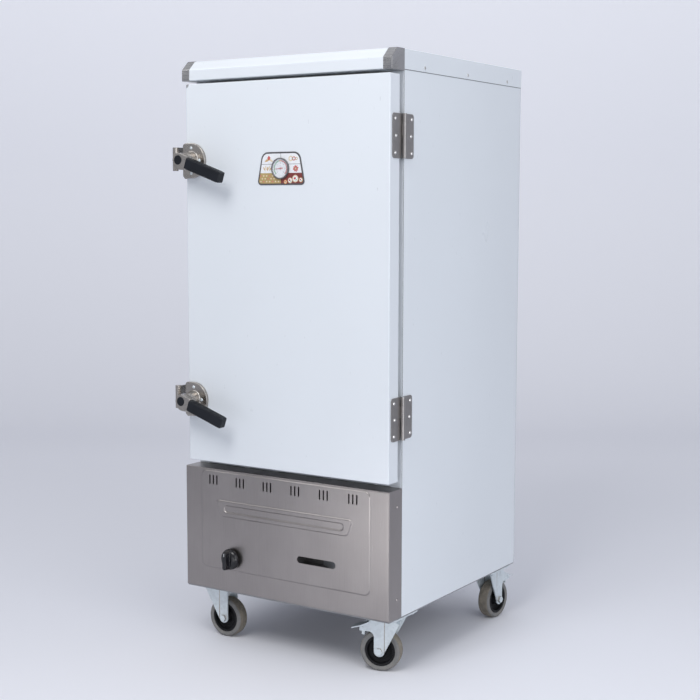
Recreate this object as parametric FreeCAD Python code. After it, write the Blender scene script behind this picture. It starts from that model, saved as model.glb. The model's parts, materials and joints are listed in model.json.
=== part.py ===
import FreeCAD, Part
import math
import os

os.makedirs("parts", exist_ok=True)
Vec = FreeCAD.Vector

# Gas-heated rice steamer cabinet on four swivel casters, in millimetres.
# Built with x = 0 on the body's centre line, y = 0 on the body's front face, z = 0 on the floor;
# export moves everything so that the origin is the centre of the footprint on the floor.

# Body shell
body_width = 600.0
body_depth = 590.0
body_top = 1450.0
sheet = 1.0
front_return = 30.0
rear_return = 20.0
skirt_height = 45.0
rivet_places = (91.0, 298.0, 509.0)
rivet_drop = 36.0

# Canopy over the door, with a cap at each end
canopy_reach = 54.0
canopy_bottom = 1402.0
canopy_face_top = 1428.0
canopy_slope_back = 31.0
cap_width = 22.0
cap_sheet = 0.8

# Steaming chamber, its flange and the lagging round it
chamber_half_width = 249.0
chamber_depth = 539.0
chamber_floor = 492.0
chamber_ceiling = 1370.0
flange_bottom = 451.0
floor_ledge = 12.0
lagging_gap = 1.0

# Door
door_inset = 16.0
door_bottom = 468.0
door_top = 1393.0
door_front = -60.0
door_back = -20.0
door_field_rise = 5.0
door_field_inset = 50.0
gasket_width = 14.0
gasket_inset = 6.0
gasket_clearance = 0.3

# Burner panel below the door
panel_reach = 56.0
panel_top = 450.0
panel_bottom_return = 22.0
field_half_width = 250.0
field_bottom = 199.0
field_top = 446.0
field_corner = 16.0
field_rise = 2.0
brow_top = 375.0
brow_bottom = 333.0
brow_half_top = 203.0
brow_half_bottom = 189.0
brow_rise = 2.0
groove_half_length = 178.0
groove_height = 20.0
groove_depth = 2.0
vent_groups = 6
vent_first = -211.0
vent_pitch = 82.6
vent_height = 423.0
vent_slots = 3
vent_slot_width = 4.0
vent_slot_length = 24.0
vent_slot_pitch = 11.0
sight_left = 43.0
sight_right = 154.0
sight_height = 258.0
sight_width = 17.0

# Hinges on the right-hand edge
hinge_heights = (1256.0, 615.0)
hinge_length = 100.0
hinge_axis_out = 6.0
hinge_axis_y = -8.0
knuckle_radius = 5.5
hinge_pin_radius = 2.95
pin_clearance = 0.05
leaf_thickness = 2.5
leaf_corner = 8.0
door_leaf_front = -52.0
door_leaf_back = -14.0
frame_leaf_front = -2.0
frame_leaf_back = 39.0
door_knuckle_low = 0.50
door_knuckle_high = 0.80
knuckle_gap = 0.3

# Latches on the left-hand edge
latch_heights = (1209.0, 622.0)
latch_inset = 21.0
latch_base_thickness = 8.0
latch_cover = 3.0
latch_plate_left = 27.0
latch_plate_round = 42.5
latch_plate_flat = 1.5
latch_plate_corner = 8.0
latch_boss_foot = 21.0
latch_boss_tip = 16.5
spindle_radius = 8.0
latch_hub_back = 38.1
latch_hub_length = 20.0
latch_hub_radius = 17.0
latch_block_reach = 26.0
latch_block_height = 33.0
latch_droop = 19.0
cam_reach = 50.0
cam_half_width = 6.0
cam_thickness = 3.2
cam_swing = 62.0
grip_end = 135.0
grip_height = 26.0
grip_depth = 21.0
tang_end = 118.0
tang_height = 14.0
tang_depth = 8.0
hub_cap_radius = 12.5
hub_cap_thickness = 2.5
keeper_thickness = 2.5
keeper_barrel_out = 9.0
keeper_barrel_y = -72.0
keeper_barrel_radius = 7.0
keeper_low = -25.0
keeper_high = 32.0
keeper_arm_low = 10.0
keeper_foot = 46.0

# Thermometer on the door
plaque_x = 2.0
plaque_height = 1186.5
plaque_bottom_half = 69.0
plaque_top_half = 54.0
plaque_tall = 77.0
plaque_sheet = 1.2
dial_radius = 24.6
dial_bore = 22.0
dial_depth = 5.8
dial_floor = 1.5
stem_radius = 4.0
stem_reach = 15.0
pointer_turn = 186.0

# Trays and their runners
tray_count = 8
tray_first = 525.0
tray_pitch = 105.0
tray_half_width = 222.0
tray_front = 32.0
tray_rear_gap = 27.0
tray_height = 48.0
tray_sheet = 1.0
tray_rim = 6.0
tray_corner = 18.0
runner_reach = 213.0
runner_sheet = 1.5
runner_depth = 18.0
post_width = 20.0
post_front = 40.0
post_rear_gap = 59.0

# Water tank under the trays
tank_bottom = 345.0
tank_sheet = 1.2
tank_side_gap = 1.0
tank_corner = 20.0

# Float valve that fills the tank
feed_x = -150.0
feed_height = 445.0
thread_radius = 10.48
thread_length = 15.0
wall_nut = 8.0
nut_seat = 0.05
float_arm = 92.0
float_radius = 28.0
float_droop = 25.0

# Drain with a ball valve behind the cabinet
drain_x = 150.0
drain_rear_gap = 59.0
drain_height = 300.0
drain_pipe_radius = 9.0
drain_body_radius = 16.0
drain_body_length = 38.0
drain_standoff = 8.0

# Steam vent through the back
steam_height = 1320.0
steam_radius = 17.0
steam_wall = 1.5
steam_reach = 38.0

# Burner and its gas line
burner_y = 290.0
burner_ring_height = 236.0
burner_ring_thick = 26.0
outer_ring_radius = 100.0
inner_ring_radius = 46.0
ring_width = 20.0
gas_pipe_radius = 6.0
gas_line_inset = 48.0
knob_x = -153.0
knob_height = 231.0
knob_radius = 26.0
knob_push = 4.0

# Frame under the body
frame_bar = 40.0
frame_thick = 3.0
frame_upstand = 30.0
inner_rail_inset = 15.0
inner_rail_width = 30.0
cross_bar_offset = 60.0
cross_bar_width = 30.0

# Casters
wheel_radius = 50.0
wheel_width = 32.0
tyre_thickness = 12.5
core_wall = 6.5
core_web_half = 4.0
core_hub_radius = 14.0
caster_head = 45.0
caster_inset = 42.0
caster_front_y = 27.0
caster_rear_inset = 70.0
caster_trail = 25.0
plate_x = 85.0
plate_y = 105.0
plate_thick = 3.0
bolt_half_x = 30.0
bolt_half_y = 40.0
bolt_radius = 4.0
bolt_clearance = 0.3
race_height = 6.0
race_radius = 27.0
crown_radius = 30.0
crown_thick = 3.0
fork_inside = 18.0
fork_sheet = 3.0
kingpin_radius = 6.0
axle_radius = 6.0
running_gap = 0.05
pedal_pivot_inset = 9.0
pedal_pivot_rise = 4.0
casters = (
    ("front_left", -1, 0, 0.0, False),
    ("front_right", 1, 0, 195.0, True),
    ("rear_right", 1, 1, 84.0, True),
    ("rear_left", -1, 1, 110.0, False),
)

# Places that follow from the sizes above
half_width = body_width / 2
inside_x = half_width - sheet
underside = 2 * wheel_radius + caster_head
door_left = -half_width + door_inset
hinge_axis_x = half_width + hinge_axis_out
latch_axis_x = door_left + latch_inset
keeper_barrel_x = -half_width - keeper_barrel_out
tray_length = chamber_depth - tray_front - tray_rear_gap
post_places = (post_front, chamber_depth - post_rear_gap)
drain_y = chamber_depth - drain_rear_gap
gas_line_x = -half_width + gas_line_inset
caster_x = half_width - caster_inset
caster_rear_y = body_depth - caster_rear_inset
inner_rail_far = caster_x - inner_rail_inset
inner_rail_near = inner_rail_far - inner_rail_width
cross_bars = (burner_y - cross_bar_offset, burner_y + cross_bar_offset)
core_radius = wheel_radius - tyre_thickness
pedal_pivot_u = caster_trail + wheel_radius - pedal_pivot_inset
pedal_pivot_z = 2 * wheel_radius + pedal_pivot_rise
frame_bottom = underside - frame_thick
plate_bottom = frame_bottom - plate_thick
crown_top = plate_bottom - race_height
seat_gap = 0.1

nodes = {}
x_axis = Vec(1, 0, 0)
y_axis = Vec(0, 1, 0)
z_axis = Vec(0, 0, 1)


def box(x0, x1, y0, y1, z0, z1):
    return Part.makeBox(x1 - x0, y1 - y0, z1 - z0, Vec(x0, y0, z0))


def rod(radius, start, direction, length):
    return Part.makeCylinder(radius, length, Vec(*start), direction)


def fuse(*shapes):
    joined = shapes[0]
    for shape in shapes[1:]:
        joined = joined.fuse(shape)
    return joined.removeSplitter()


def turned(shape, centre, axis, angle):
    copy = shape.copy()
    copy.rotate(Vec(*centre), axis, angle)
    return copy


def moved(shape, x=0.0, y=0.0, z=0.0):
    copy = shape.copy()
    copy.translate(Vec(x, y, z))
    return copy


def prism(points, direction):
    wire = Part.makePolygon([Vec(*p) for p in points] + [Vec(*points[0])])
    return Part.Face(wire).extrude(direction)


def edges_along(shape, axis):
    chosen = []
    for edge in shape.Edges:
        if edge.Curve.TypeId != "Part::GeomLine":
            continue
        if abs(edge.tangentAt(edge.FirstParameter).dot(axis)) > 0.999:
            chosen.append(edge)
    return chosen


def rounded_box(x0, x1, y0, y1, z0, z1, axis, radius):
    plain = box(x0, x1, y0, y1, z0, z1)
    return plain.makeFillet(radius, edges_along(plain, axis))


def hex_rod(across, start, direction, length):
    """A hexagonal bar, across its flats, from start along direction."""
    radius = across / math.sqrt(3)
    corners = []
    for i in range(6):
        angle = math.radians(60 * i)
        corners.append((radius * math.cos(angle), radius * math.sin(angle), 0))
    bar = prism(corners, Vec(0, 0, length))
    turn = FreeCAD.Rotation(z_axis, direction)
    bar.Placement = FreeCAD.Placement(Vec(*start), turn)
    return bar


def pipe(points, radius, bend):
    """A round bar along straight runs joined by tangent arcs of one bend radius."""
    vectors = [Vec(*p) for p in points]
    edges = []
    start = vectors[0]
    for i in range(1, len(vectors) - 1):
        corner = vectors[i]
        back = (vectors[i - 1] - corner).normalize()
        ahead = (vectors[i + 1] - corner).normalize()
        half = back.getAngle(ahead) / 2
        setback = bend / math.tan(half)
        arc_start = corner + back * setback
        arc_end = corner + ahead * setback
        centre = corner + (back + ahead).normalize() * (bend / math.sin(half))
        middle = centre + (corner - centre).normalize() * bend
        edges.append(Part.LineSegment(start, arc_start).toShape())
        edges.append(Part.Arc(arc_start, middle, arc_end).toShape())
        start = arc_end
    edges.append(Part.LineSegment(start, vectors[-1]).toShape())
    path = Part.Wire(edges)
    first = (vectors[1] - vectors[0]).normalize()
    section = Part.Wire(Part.Circle(vectors[0], first, radius).toShape())
    return path.makePipeShell([section], True, False)


def screw(place, outward, head_radius=3.5, head_height=1.6, shank_radius=2.0, shank=3.5):
    """A pan-head screw with a cross recess, its head resting at place."""
    head = Part.makeCylinder(head_radius, head_height)
    top = [e for e in head.Edges if e.BoundBox.ZMin > head_height - 0.01 and e.Closed]
    head = head.makeFillet(head_height * 0.6, top)
    slot_depth = head_height * 0.5
    slot = head_radius * 0.62
    blade = head_radius * 0.14
    z0 = head_height - slot_depth
    head = head.cut(box(-slot, slot, -blade, blade, z0, head_height + 1))
    head = head.cut(box(-blade, blade, -slot, slot, z0, head_height + 1))
    whole = head.fuse(rod(shank_radius, (0, 0, -shank), z_axis, shank)).removeSplitter()
    whole.Placement = FreeCAD.Placement(Vec(*place), FreeCAD.Rotation(z_axis, outward))
    return whole


def screw_holes(places, outward, shank_radius=2.0, depth=8.0):
    """Clearance holes for screws at the given places, centred on the surface they sit on."""
    holes = []
    for place in places:
        start = Vec(*place) - outward * (depth / 2)
        holes.append(Part.makeCylinder(shank_radius + pin_clearance, depth, start, outward))
    return Part.makeCompound(holes)


# Where the screws sit: shared by the screws themselves and by every sheet they pass through

def hinge_screw_rows(height):
    spread = hinge_length / 2 - 12
    return ((spread, 0.0), (0.0, 3.0), (-spread, 0.0)), height


def frame_screw_places():
    face = half_width + leaf_thickness
    row = (frame_leaf_back + frame_leaf_front) / 2 + 12
    places = []
    for height in hinge_heights:
        rows, centre = hinge_screw_rows(height)
        places += [(face, row - inward, centre + up) for up, inward in rows]
    return places


def door_screw_places():
    face = half_width + leaf_thickness
    row = door_leaf_front + 11
    places = []
    for height in hinge_heights:
        rows, centre = hinge_screw_rows(height)
        places += [(face, row + inward, centre + up) for up, inward in rows]
    return places


latch_screws = ((0.0, 30.0), (25.0, 0.0), (0.0, -31.0))


def latch_screw_places():
    face = door_front - latch_base_thickness
    return [(latch_axis_x + u, face, height + w) for height in latch_heights for u, w in latch_screws]


def keeper_screw_places():
    face = -half_width - keeper_thickness
    offsets = ((keeper_foot - 10, keeper_high - 10), (keeper_foot - 10, keeper_low + 10))
    return [(face, y, height + up) for height in latch_heights for y, up in offsets]


def rivet_side_places():
    outside = half_width + sheet
    return [(side * outside, y, body_top - rivet_drop) for side in (-1, 1) for y in rivet_places]


def rivet_rear_places():
    return [(x, body_depth + sheet, body_top - rivet_drop) for x in (-200.0, 0.0, 200.0)]


def back_screw_places():
    heights = (200.0, 400.0, 700.0, 1000.0, 1300.0)
    return [(side * (half_width - 12), body_depth, z) for side in (-1, 1) for z in heights]


def panel_screw_places():
    return [(side * half_width, -20.0, z) for side in (-1, 1) for z in (190.0, 410.0)]


# Outer casing

def side_panel(side):
    outer = side * half_width
    inner = side * inside_x
    low, high = min(outer, inner), max(outer, inner)
    deep = body_depth - sheet
    top = body_top - 2 * sheet
    wall = box(low, high, 0, deep, underside, top)
    tip = side * (half_width - front_return)
    front = box(min(inner, tip), max(inner, tip), 0, sheet, underside, top)
    tip = side * (half_width - rear_return)
    rear = box(min(inner, tip), max(inner, tip), deep - sheet, deep, underside, top)
    panel = fuse(wall, front, rear)
    outward = Vec(side, 0, 0)
    panel = panel.cut(screw_holes([p for p in rivet_side_places() if p[0] * side > 0], outward, 1.6, 10))
    panel = panel.cut(screw_holes([p for p in back_screw_places() if p[0] * side > 0], y_axis))
    if side > 0:
        panel = panel.cut(screw_holes(frame_screw_places(), outward, 2.0, 12))
    else:
        panel = panel.cut(screw_holes(keeper_screw_places(), outward, 2.0, 12))
    return panel


def back_panel():
    edge = half_width - 0.5
    plate = box(-edge, edge, body_depth - sheet, body_depth, underside, body_top - 2 * sheet)
    plate = plate.cut(screw_holes(back_screw_places(), y_axis))
    plate = plate.cut(screw_holes(rivet_rear_places(), y_axis, 1.6, 10))
    far = body_depth - 10
    for x, z, radius in (
        (0, steam_height, steam_radius),
        (feed_x, feed_height, thread_radius),
        (drain_x, drain_height, drain_pipe_radius),
        (gas_line_x, knob_height, thread_radius),
    ):
        plate = plate.cut(rod(radius + 0.5, (x, far, z), y_axis, 20))
    for row in (175.0, 200.0):
        for column in range(8):
            x = -175.0 + 50.0 * column
            slot = rounded_box(x - 18, x + 18, far, far + 20, row - 3.5, row + 3.5, y_axis, 3.4)
            plate = plate.cut(slot)
    return plate


def top_cover():
    edge = half_width + sheet
    deep = body_depth + sheet
    low = body_top - skirt_height
    outer = box(-edge, edge, 0, deep, low, body_top)
    cavity = box(-half_width, half_width, -1, body_depth, low - 1, body_top - sheet)
    cover = outer.cut(cavity)
    for side in (-1, 1):
        places = [p for p in rivet_side_places() if p[0] * side > 0]
        cover = cover.cut(screw_holes(places, Vec(side, 0, 0), 1.6, 10))
    return cover.cut(screw_holes(rivet_rear_places(), y_axis, 1.6, 10))


def canopy_profile(grow):
    """The canopy's section in y and z, grown outwards by grow on every side but the back."""
    slope_z = body_top - canopy_face_top
    slope_y = canopy_reach - canopy_slope_back
    length = math.hypot(slope_y, slope_z)
    lean = grow * (length - slope_z) / slope_y
    rise = grow * (length - slope_y) / slope_z
    return (
        (0, canopy_bottom - grow),
        (-canopy_reach - grow, canopy_bottom - grow),
        (-canopy_reach - grow, canopy_face_top + lean),
        (-canopy_slope_back - rise, body_top + grow),
        (0, body_top + grow),
    )


def canopy_bar(grow, back, x0, x1):
    points = []
    for y, z in canopy_profile(grow):
        points.append((x0, back if y == 0 else y, z))
    return prism(points, Vec(x1 - x0, 0, 0))


def canopy():
    outer = canopy_bar(0, 0, -half_width, half_width)
    inner = canopy_bar(-sheet, -sheet, -half_width - 1, half_width + 1)
    return outer.cut(inner)


def canopy_caps():
    caps = []
    for side in (-1, 1):
        end = half_width + cap_sheet
        near = half_width - cap_width
        outer = canopy_bar(cap_sheet, 0, near, end)
        inner = canopy_bar(0, 1, near - 1, half_width)
        cap = outer.cut(inner)
        if side < 0:
            cap = turned(cap, (0, 0, 0), z_axis, 180)
            cap = cap.mirror(Vec(0, 0, 0), y_axis)
        caps.append(cap)
    return Part.makeCompound(caps)


# Burner panel

def pad(x0, x1, z0, z1, front, rise, corner):
    """A pressed field with sloping edges, standing rise in front of the plane y = front."""
    block = rounded_box(x0, x1, front - rise, front + 2, z0, z1, y_axis, corner)
    rim = [e for e in block.Edges if e.BoundBox.YMax < front - rise + 0.01]
    return block.makeChamfer(rise * 0.98, rim)


def brow(front, rise):
    """The pressed trapezoid over the controls."""
    corners = (
        (-brow_half_bottom, front - rise, brow_bottom),
        (brow_half_bottom, front - rise, brow_bottom),
        (brow_half_top, front - rise, brow_top),
        (-brow_half_top, front - rise, brow_top),
    )
    block = prism(corners, Vec(0, rise + 2, 0))
    block = block.makeFillet(10.0, edges_along(block, y_axis))
    rim = [e for e in block.Edges if e.BoundBox.YMax < front - rise + 0.01]
    return block.makeChamfer(rise * 0.98, rim)


def groove(front, depth):
    """The long round-ended groove pressed back into the trapezoid."""
    middle = (brow_top + brow_bottom) / 2
    half = groove_height / 2
    block = rounded_box(
        -groove_half_length, groove_half_length, front - 1, front + depth,
        middle - half, middle + half, y_axis, half - 0.2,
    )
    rim = [e for e in block.Edges if e.BoundBox.YMin > front + depth - 0.01]
    return block.makeChamfer(depth * 0.9, rim)


def panel_volume(inset):
    """The panel's outside, or its inside one sheet further back where inset is the sheet."""
    front = -panel_reach + inset
    back = 0 if inset == 0 else 1
    block = box(-half_width + inset, half_width - inset, front, back, underside + inset, panel_top - inset)
    field = pad(-field_half_width, field_half_width, field_bottom, field_top, front, field_rise, field_corner)
    face = front - field_rise
    block = block.fuse(field).fuse(brow(face, brow_rise))
    return block.cut(groove(face - brow_rise, groove_depth))


def burner_panel():
    panel = panel_volume(0).cut(panel_volume(sheet))
    opening = box(
        -inside_x, inside_x, -panel_reach + sheet + panel_bottom_return, 1,
        underside - 1, underside + sheet + 0.5,
    )
    panel = panel.cut(opening)
    reach = -panel_reach - 10
    half = sight_width / 2
    sight = rounded_box(
        sight_left, sight_right, reach, reach + 20, sight_height - half, sight_height + half,
        y_axis, half - 0.1,
    )
    panel = panel.cut(sight)
    for group in range(vent_groups):
        centre = vent_first + vent_pitch * group
        for slot in range(vent_slots):
            x = centre + (slot - (vent_slots - 1) / 2) * vent_slot_pitch
            long = vent_slot_length / 2
            wide = vent_slot_width / 2
            hole = rounded_box(
                x - wide, x + wide, reach, reach + 20, vent_height - long, vent_height + long,
                y_axis, wide - 0.1,
            )
            panel = panel.cut(hole)
    panel = panel.cut(rod(7.5, (knob_x, reach, knob_height), y_axis, 20))
    for side in (-1, 1):
        places = [p for p in panel_screw_places() if p[0] * side > 0]
        panel = panel.cut(screw_holes(places, Vec(side, 0, 0)))
    return panel


# Steaming chamber

def chamber_liner():
    outer = box(
        -chamber_half_width - sheet, chamber_half_width + sheet, -sheet, chamber_depth + sheet,
        chamber_floor - sheet, chamber_ceiling + sheet,
    )
    flange = box(-inside_x, inside_x, -sheet, 0, flange_bottom, canopy_bottom - sheet)
    cavity = box(-chamber_half_width, chamber_half_width, -5, chamber_depth, chamber_floor, chamber_ceiling)
    well = box(
        -chamber_half_width + floor_ledge, chamber_half_width - floor_ledge,
        floor_ledge + 1, chamber_depth - floor_ledge, chamber_floor - 5, chamber_floor + 5,
    )
    liner = fuse(outer, flange).cut(cavity).cut(well)
    return liner.cut(rod(steam_radius, (0, chamber_depth - 5, steam_height), y_axis, 20))


def lagging():
    """The mineral-wool filling at the sides, back and top."""
    gap = lagging_gap
    edge = inside_x - gap
    block = box(-edge, edge, sheet + gap, body_depth - 2 * sheet - gap, chamber_floor - 30, body_top - 3 * sheet)
    inner = chamber_half_width + sheet + gap
    hollow = box(
        -inner, inner, -1, chamber_depth + sheet + gap, chamber_floor - 40, chamber_ceiling + sheet + gap,
    )
    block = block.cut(hollow)
    return block.cut(rod(steam_radius + gap, (0, chamber_depth, steam_height), y_axis, body_depth))


def tray_level(index):
    return tray_first + tray_pitch * index


def tray_rack(side):
    far = chamber_half_width
    post_face = far - 2 * runner_sheet
    pieces = []
    for y in post_places:
        pieces.append(box(post_face, far, y, y + post_width, chamber_floor + tank_sheet, chamber_ceiling - 2))
    for index in range(tray_count):
        z = tray_level(index)
        front = tray_front - 8
        back = tray_front + tray_length + 4
        pieces.append(box(runner_reach, post_face, front, back, z - runner_sheet, z))
        pieces.append(box(post_face - runner_sheet, post_face, front, back, z - runner_depth, z))
    rack = fuse(*pieces)
    if side < 0:
        rack = rack.mirror(Vec(0, 0, 0), x_axis)
    return rack


def tray(index):
    low = tray_level(index)
    half = tray_half_width
    back = tray_front + tray_length
    top = low + tray_height
    shell = rounded_box(-half, half, tray_front, back, low, top, z_axis, tray_corner)
    rim = rounded_box(
        -half - tray_rim, half + tray_rim, tray_front - tray_rim, back + tray_rim,
        top - tray_sheet, top, z_axis, tray_corner + tray_rim,
    )
    wall = tray_sheet
    hollow = rounded_box(
        -half + wall, half - wall, tray_front + wall, back - wall, low + wall, top + 1,
        z_axis, tray_corner - wall,
    )
    return shell.fuse(rim).cut(hollow)


def water_tank():
    ledge = floor_ledge + tank_side_gap
    half = chamber_half_width - ledge
    front = ledge + 1
    back = chamber_depth - ledge
    basin = rounded_box(-half, half, front, back, tank_bottom, chamber_floor + tank_sheet, z_axis, tank_corner)
    rim_edge = chamber_half_width - tank_side_gap
    rim = box(
        -rim_edge, rim_edge, 2.0, chamber_depth - tank_side_gap, chamber_floor, chamber_floor + tank_sheet,
    )
    wall = tank_sheet
    hollow = rounded_box(
        -half + wall, half - wall, front + wall, back - wall, tank_bottom + wall, chamber_floor + 10,
        z_axis, tank_corner - wall,
    )
    tank = basin.fuse(rim).cut(hollow)
    tank = tank.cut(rod(thread_radius, (feed_x, back - 10, feed_height), y_axis, 20))
    drain = rod(drain_pipe_radius + pin_clearance, (drain_x, drain_y, tank_bottom - 5), z_axis, 15)
    return tank.cut(drain)


# Water fittings

def water_inlet():
    """Threaded tail behind the cabinet, wall nuts, and the float valve's body inside the tank."""
    back = chamber_depth - floor_ledge - tank_side_gap
    inner = back - tank_sheet
    end = body_depth + nut_seat + wall_nut + thread_length
    tail = rod(thread_radius, (feed_x, inner - 14, feed_height), y_axis, end - inner + 14)
    inner_nut = hex_rod(27, (feed_x, inner - wall_nut, feed_height), y_axis, wall_nut - nut_seat)
    outer_nut = hex_rod(27, (feed_x, body_depth + nut_seat, feed_height), y_axis, wall_nut)
    body = fuse(tail, inner_nut, outer_nut)
    for side in (-1, 1):
        x = feed_x + side * 6
        body = body.fuse(box(x - 1.5, x + 1.5, inner - 34, inner - 8, feed_height - 6, feed_height + 6))
    pin_y = inner - 28
    body = body.fuse(rod(2.0, (feed_x - 7.5, pin_y, feed_height), x_axis, 15))
    bore = rod(6.5, (feed_x, inner, feed_height), y_axis, 200)
    return body.cut(bore).removeSplitter()


def float_pivot():
    inner = chamber_depth - floor_ledge - tank_side_gap - tank_sheet
    return (feed_x, inner - 28, feed_height)


def float_ball():
    """Float arm and ball, hanging at the empty-tank stop."""
    x, y, z = float_pivot()
    eye = rod(5.0, (x - 4, y, z), x_axis, 8)
    arm = rod(2.5, (x, y - 4, z), Vec(0, -1, 0), float_arm - float_radius)
    ball = Part.makeSphere(float_radius, Vec(x, y - float_arm, z))
    lever = fuse(eye, arm, ball)
    lever = lever.cut(rod(2.0 + pin_clearance, (x - 10, y, z), x_axis, 20))
    return turned(lever, (x, y, z), x_axis, float_droop)


def drain_valve():
    route = (
        (drain_x, drain_y, tank_bottom + tank_sheet),
        (drain_x, drain_y, drain_height),
        (drain_x, body_depth + drain_standoff + 6, drain_height),
    )
    line = pipe(route, drain_pipe_radius, 20.0)
    start = body_depth + drain_standoff
    body = rod(drain_body_radius, (drain_x, start, drain_height), y_axis, drain_body_length)
    ends = hex_rod(30, (drain_x, start - 2, drain_height), y_axis, 8)
    far = hex_rod(30, (drain_x, start + drain_body_length - 8, drain_height), y_axis, 8)
    outlet = rod(thread_radius, (drain_x, start + drain_body_length, drain_height), y_axis, thread_length)
    neck = rod(7.0, (drain_x, start + drain_body_length / 2, drain_height), z_axis, drain_body_radius + 6)
    valve = fuse(line, body, ends, far, outlet, neck)
    post = rod(3.0, (drain_x, start + drain_body_length / 2, drain_height), z_axis, drain_body_radius + 14)
    valve = fuse(valve, post)
    bore_end = start + drain_body_length + thread_length
    bore = rod(6.5, (drain_x, bore_end - 24, drain_height), y_axis, 30)
    return valve.cut(bore)


def drain_lever():
    x = drain_x
    y = body_depth + drain_standoff + drain_body_length / 2
    z = drain_height + drain_body_radius + 6 + seat_gap
    hub = rod(9.0, (x, y, z), z_axis, 4)
    arm = rounded_box(x - 70, x, y - 7, y + 7, z, z + 3, z_axis, 6.5)
    handle = rounded_box(x - 72, x - 20, y - 8, y + 8, z + 3, z + 9, z_axis, 7.5)
    lever = fuse(hub, arm, handle)
    return lever.cut(rod(3.0 + pin_clearance, (x, y, z - 5), z_axis, 30))


def steam_vent():
    start = chamber_depth - 2
    length = body_depth + steam_reach - start
    tube = rod(steam_radius, (0, start, steam_height), y_axis, length)
    collar = rod(steam_radius + 11, (0, body_depth, steam_height), y_axis, 2)
    vent = fuse(tube, collar)
    return vent.cut(rod(steam_radius - steam_wall, (0, start - 1, steam_height), y_axis, length + 2))


# Gas system

def burner():
    """Two cast rings on three spokes, four legs and a mixing tube towards the valve."""
    z = burner_ring_height
    top = z + burner_ring_thick
    pieces = []
    for radius in (outer_ring_radius, inner_ring_radius):
        ring = rod(radius, (0, burner_y, z), z_axis, burner_ring_thick)
        ring = ring.cut(rod(radius - ring_width, (0, burner_y, z - 1), z_axis, burner_ring_thick + 2))
        pieces.append(ring)
    spoke = box(inner_ring_radius - 4, outer_ring_radius - ring_width + 4, burner_y - 6, burner_y + 6, z, z + 12)
    for turn in (0, 120, 240):
        pieces.append(turned(spoke, (0, burner_y, 0), z_axis, turn))
    leg_offset = (outer_ring_radius - ring_width / 2) / math.sqrt(2)
    for sx in (-1, 1):
        for bar in cross_bars:
            sy = 1 if bar > burner_y else -1
            foot = (sx * leg_offset, burner_y + sy * leg_offset, underside)
            pieces.append(rod(6.0, foot, z_axis, z - underside + 1))
    tube_x = -outer_ring_radius + ring_width / 2
    pieces.append(rod(13.0, (tube_x, 130.0, z + 6), y_axis, burner_y - 130.0))
    pieces.append(rod(18.0, (tube_x, 118.0, z + 6), y_axis, 14.0))
    body = fuse(*pieces)
    body = body.cut(rod(9.0, (tube_x, 117.0, z + 6), y_axis, 60.0))
    for radius in (outer_ring_radius, inner_ring_radius):
        count = 24 if radius == outer_ring_radius else 12
        for i in range(count):
            angle = 2 * math.pi * (i + 0.5) / count
            r = radius - ring_width / 2
            place = (r * math.cos(angle), burner_y + r * math.sin(angle), top - 5)
            body = body.cut(rod(1.8, place, z_axis, 10))
    return body


valve_front = -panel_reach - field_rise
valve_back = -18.0
stem_bore = 4.0


def gas_valve():
    """Tap body behind the panel, with its bore for the stem and its panel nut in front."""
    face = -panel_reach - field_rise + sheet
    body = rounded_box(
        knob_x - 15, knob_x + 15, face + 6, valve_back, knob_height - 15, knob_height + 15, y_axis, 4.0,
    )
    neck = rod(7.0, (knob_x, valve_front - 2.5, knob_height), y_axis, 14)
    nut = hex_rod(17, (knob_x, valve_front - 2.2, knob_height), y_axis, 2.2)
    tap = fuse(body, neck, nut)
    bore = rod(stem_bore + pin_clearance, (knob_x, valve_front - 10, knob_height), y_axis, 36)
    return tap.cut(bore)


def valve_stem():
    return rod(stem_bore, (knob_x, valve_front - 22, knob_height), y_axis, 36)


def gas_knob():
    """Round skirted knob with a raised finger bar, bored for the stem."""
    face = valve_front - 3 - knob_push
    skirt = Part.makeCone(knob_radius, knob_radius * 0.9, 8, Vec(knob_x, face, knob_height), Vec(0, -1, 0))
    hub = Part.makeCone(knob_radius * 0.9, knob_radius * 0.72, 10, Vec(knob_x, face - 8, knob_height), Vec(0, -1, 0))
    bar = rounded_box(
        knob_x - 6.5, knob_x + 6.5, face - 27, face - 8, knob_height - knob_radius + 1,
        knob_height + knob_radius - 1, y_axis, 6.0,
    )
    rim = [e for e in bar.Edges if e.BoundBox.YMax < face - 26.9]
    bar = bar.makeFillet(2.5, rim)
    knob = fuse(skirt, hub, bar)
    recess = rod(12.5, (knob_x, face - 3, knob_height), y_axis, 5)
    return knob.cut(recess).cut(rod(stem_bore + pin_clearance, (knob_x, face - 17, knob_height), y_axis, 30))


def gas_line():
    """Feed from the rear tail to the tap, and the run from the tap to the burner's mixing tube."""
    z = knob_height
    face_y = (valve_back - panel_reach) / 2
    feed = pipe(
        ((knob_x - 15, face_y, z), (gas_line_x, face_y, z), (gas_line_x, body_depth - 20, z)),
        gas_pipe_radius, 24.0,
    )
    tail_start = body_depth - 26
    end = body_depth + nut_seat + wall_nut + thread_length
    tail = rod(thread_radius, (gas_line_x, tail_start, z), y_axis, end - tail_start)
    nut = hex_rod(27, (gas_line_x, body_depth + nut_seat, z), y_axis, wall_nut)
    bore = rod(6.5, (gas_line_x, tail_start + 20, z), y_axis, 60)
    feed = fuse(feed, tail, nut).cut(bore)
    tube_x = -outer_ring_radius + ring_width / 2
    height = burner_ring_height + 6
    run = pipe(
        ((knob_x, valve_back, z), (knob_x, 30.0, z), (tube_x, 80.0, height), (tube_x, 126.0, height)),
        gas_pipe_radius, 24.0,
    )
    return Part.makeCompound([feed, run])


# Door

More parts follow.
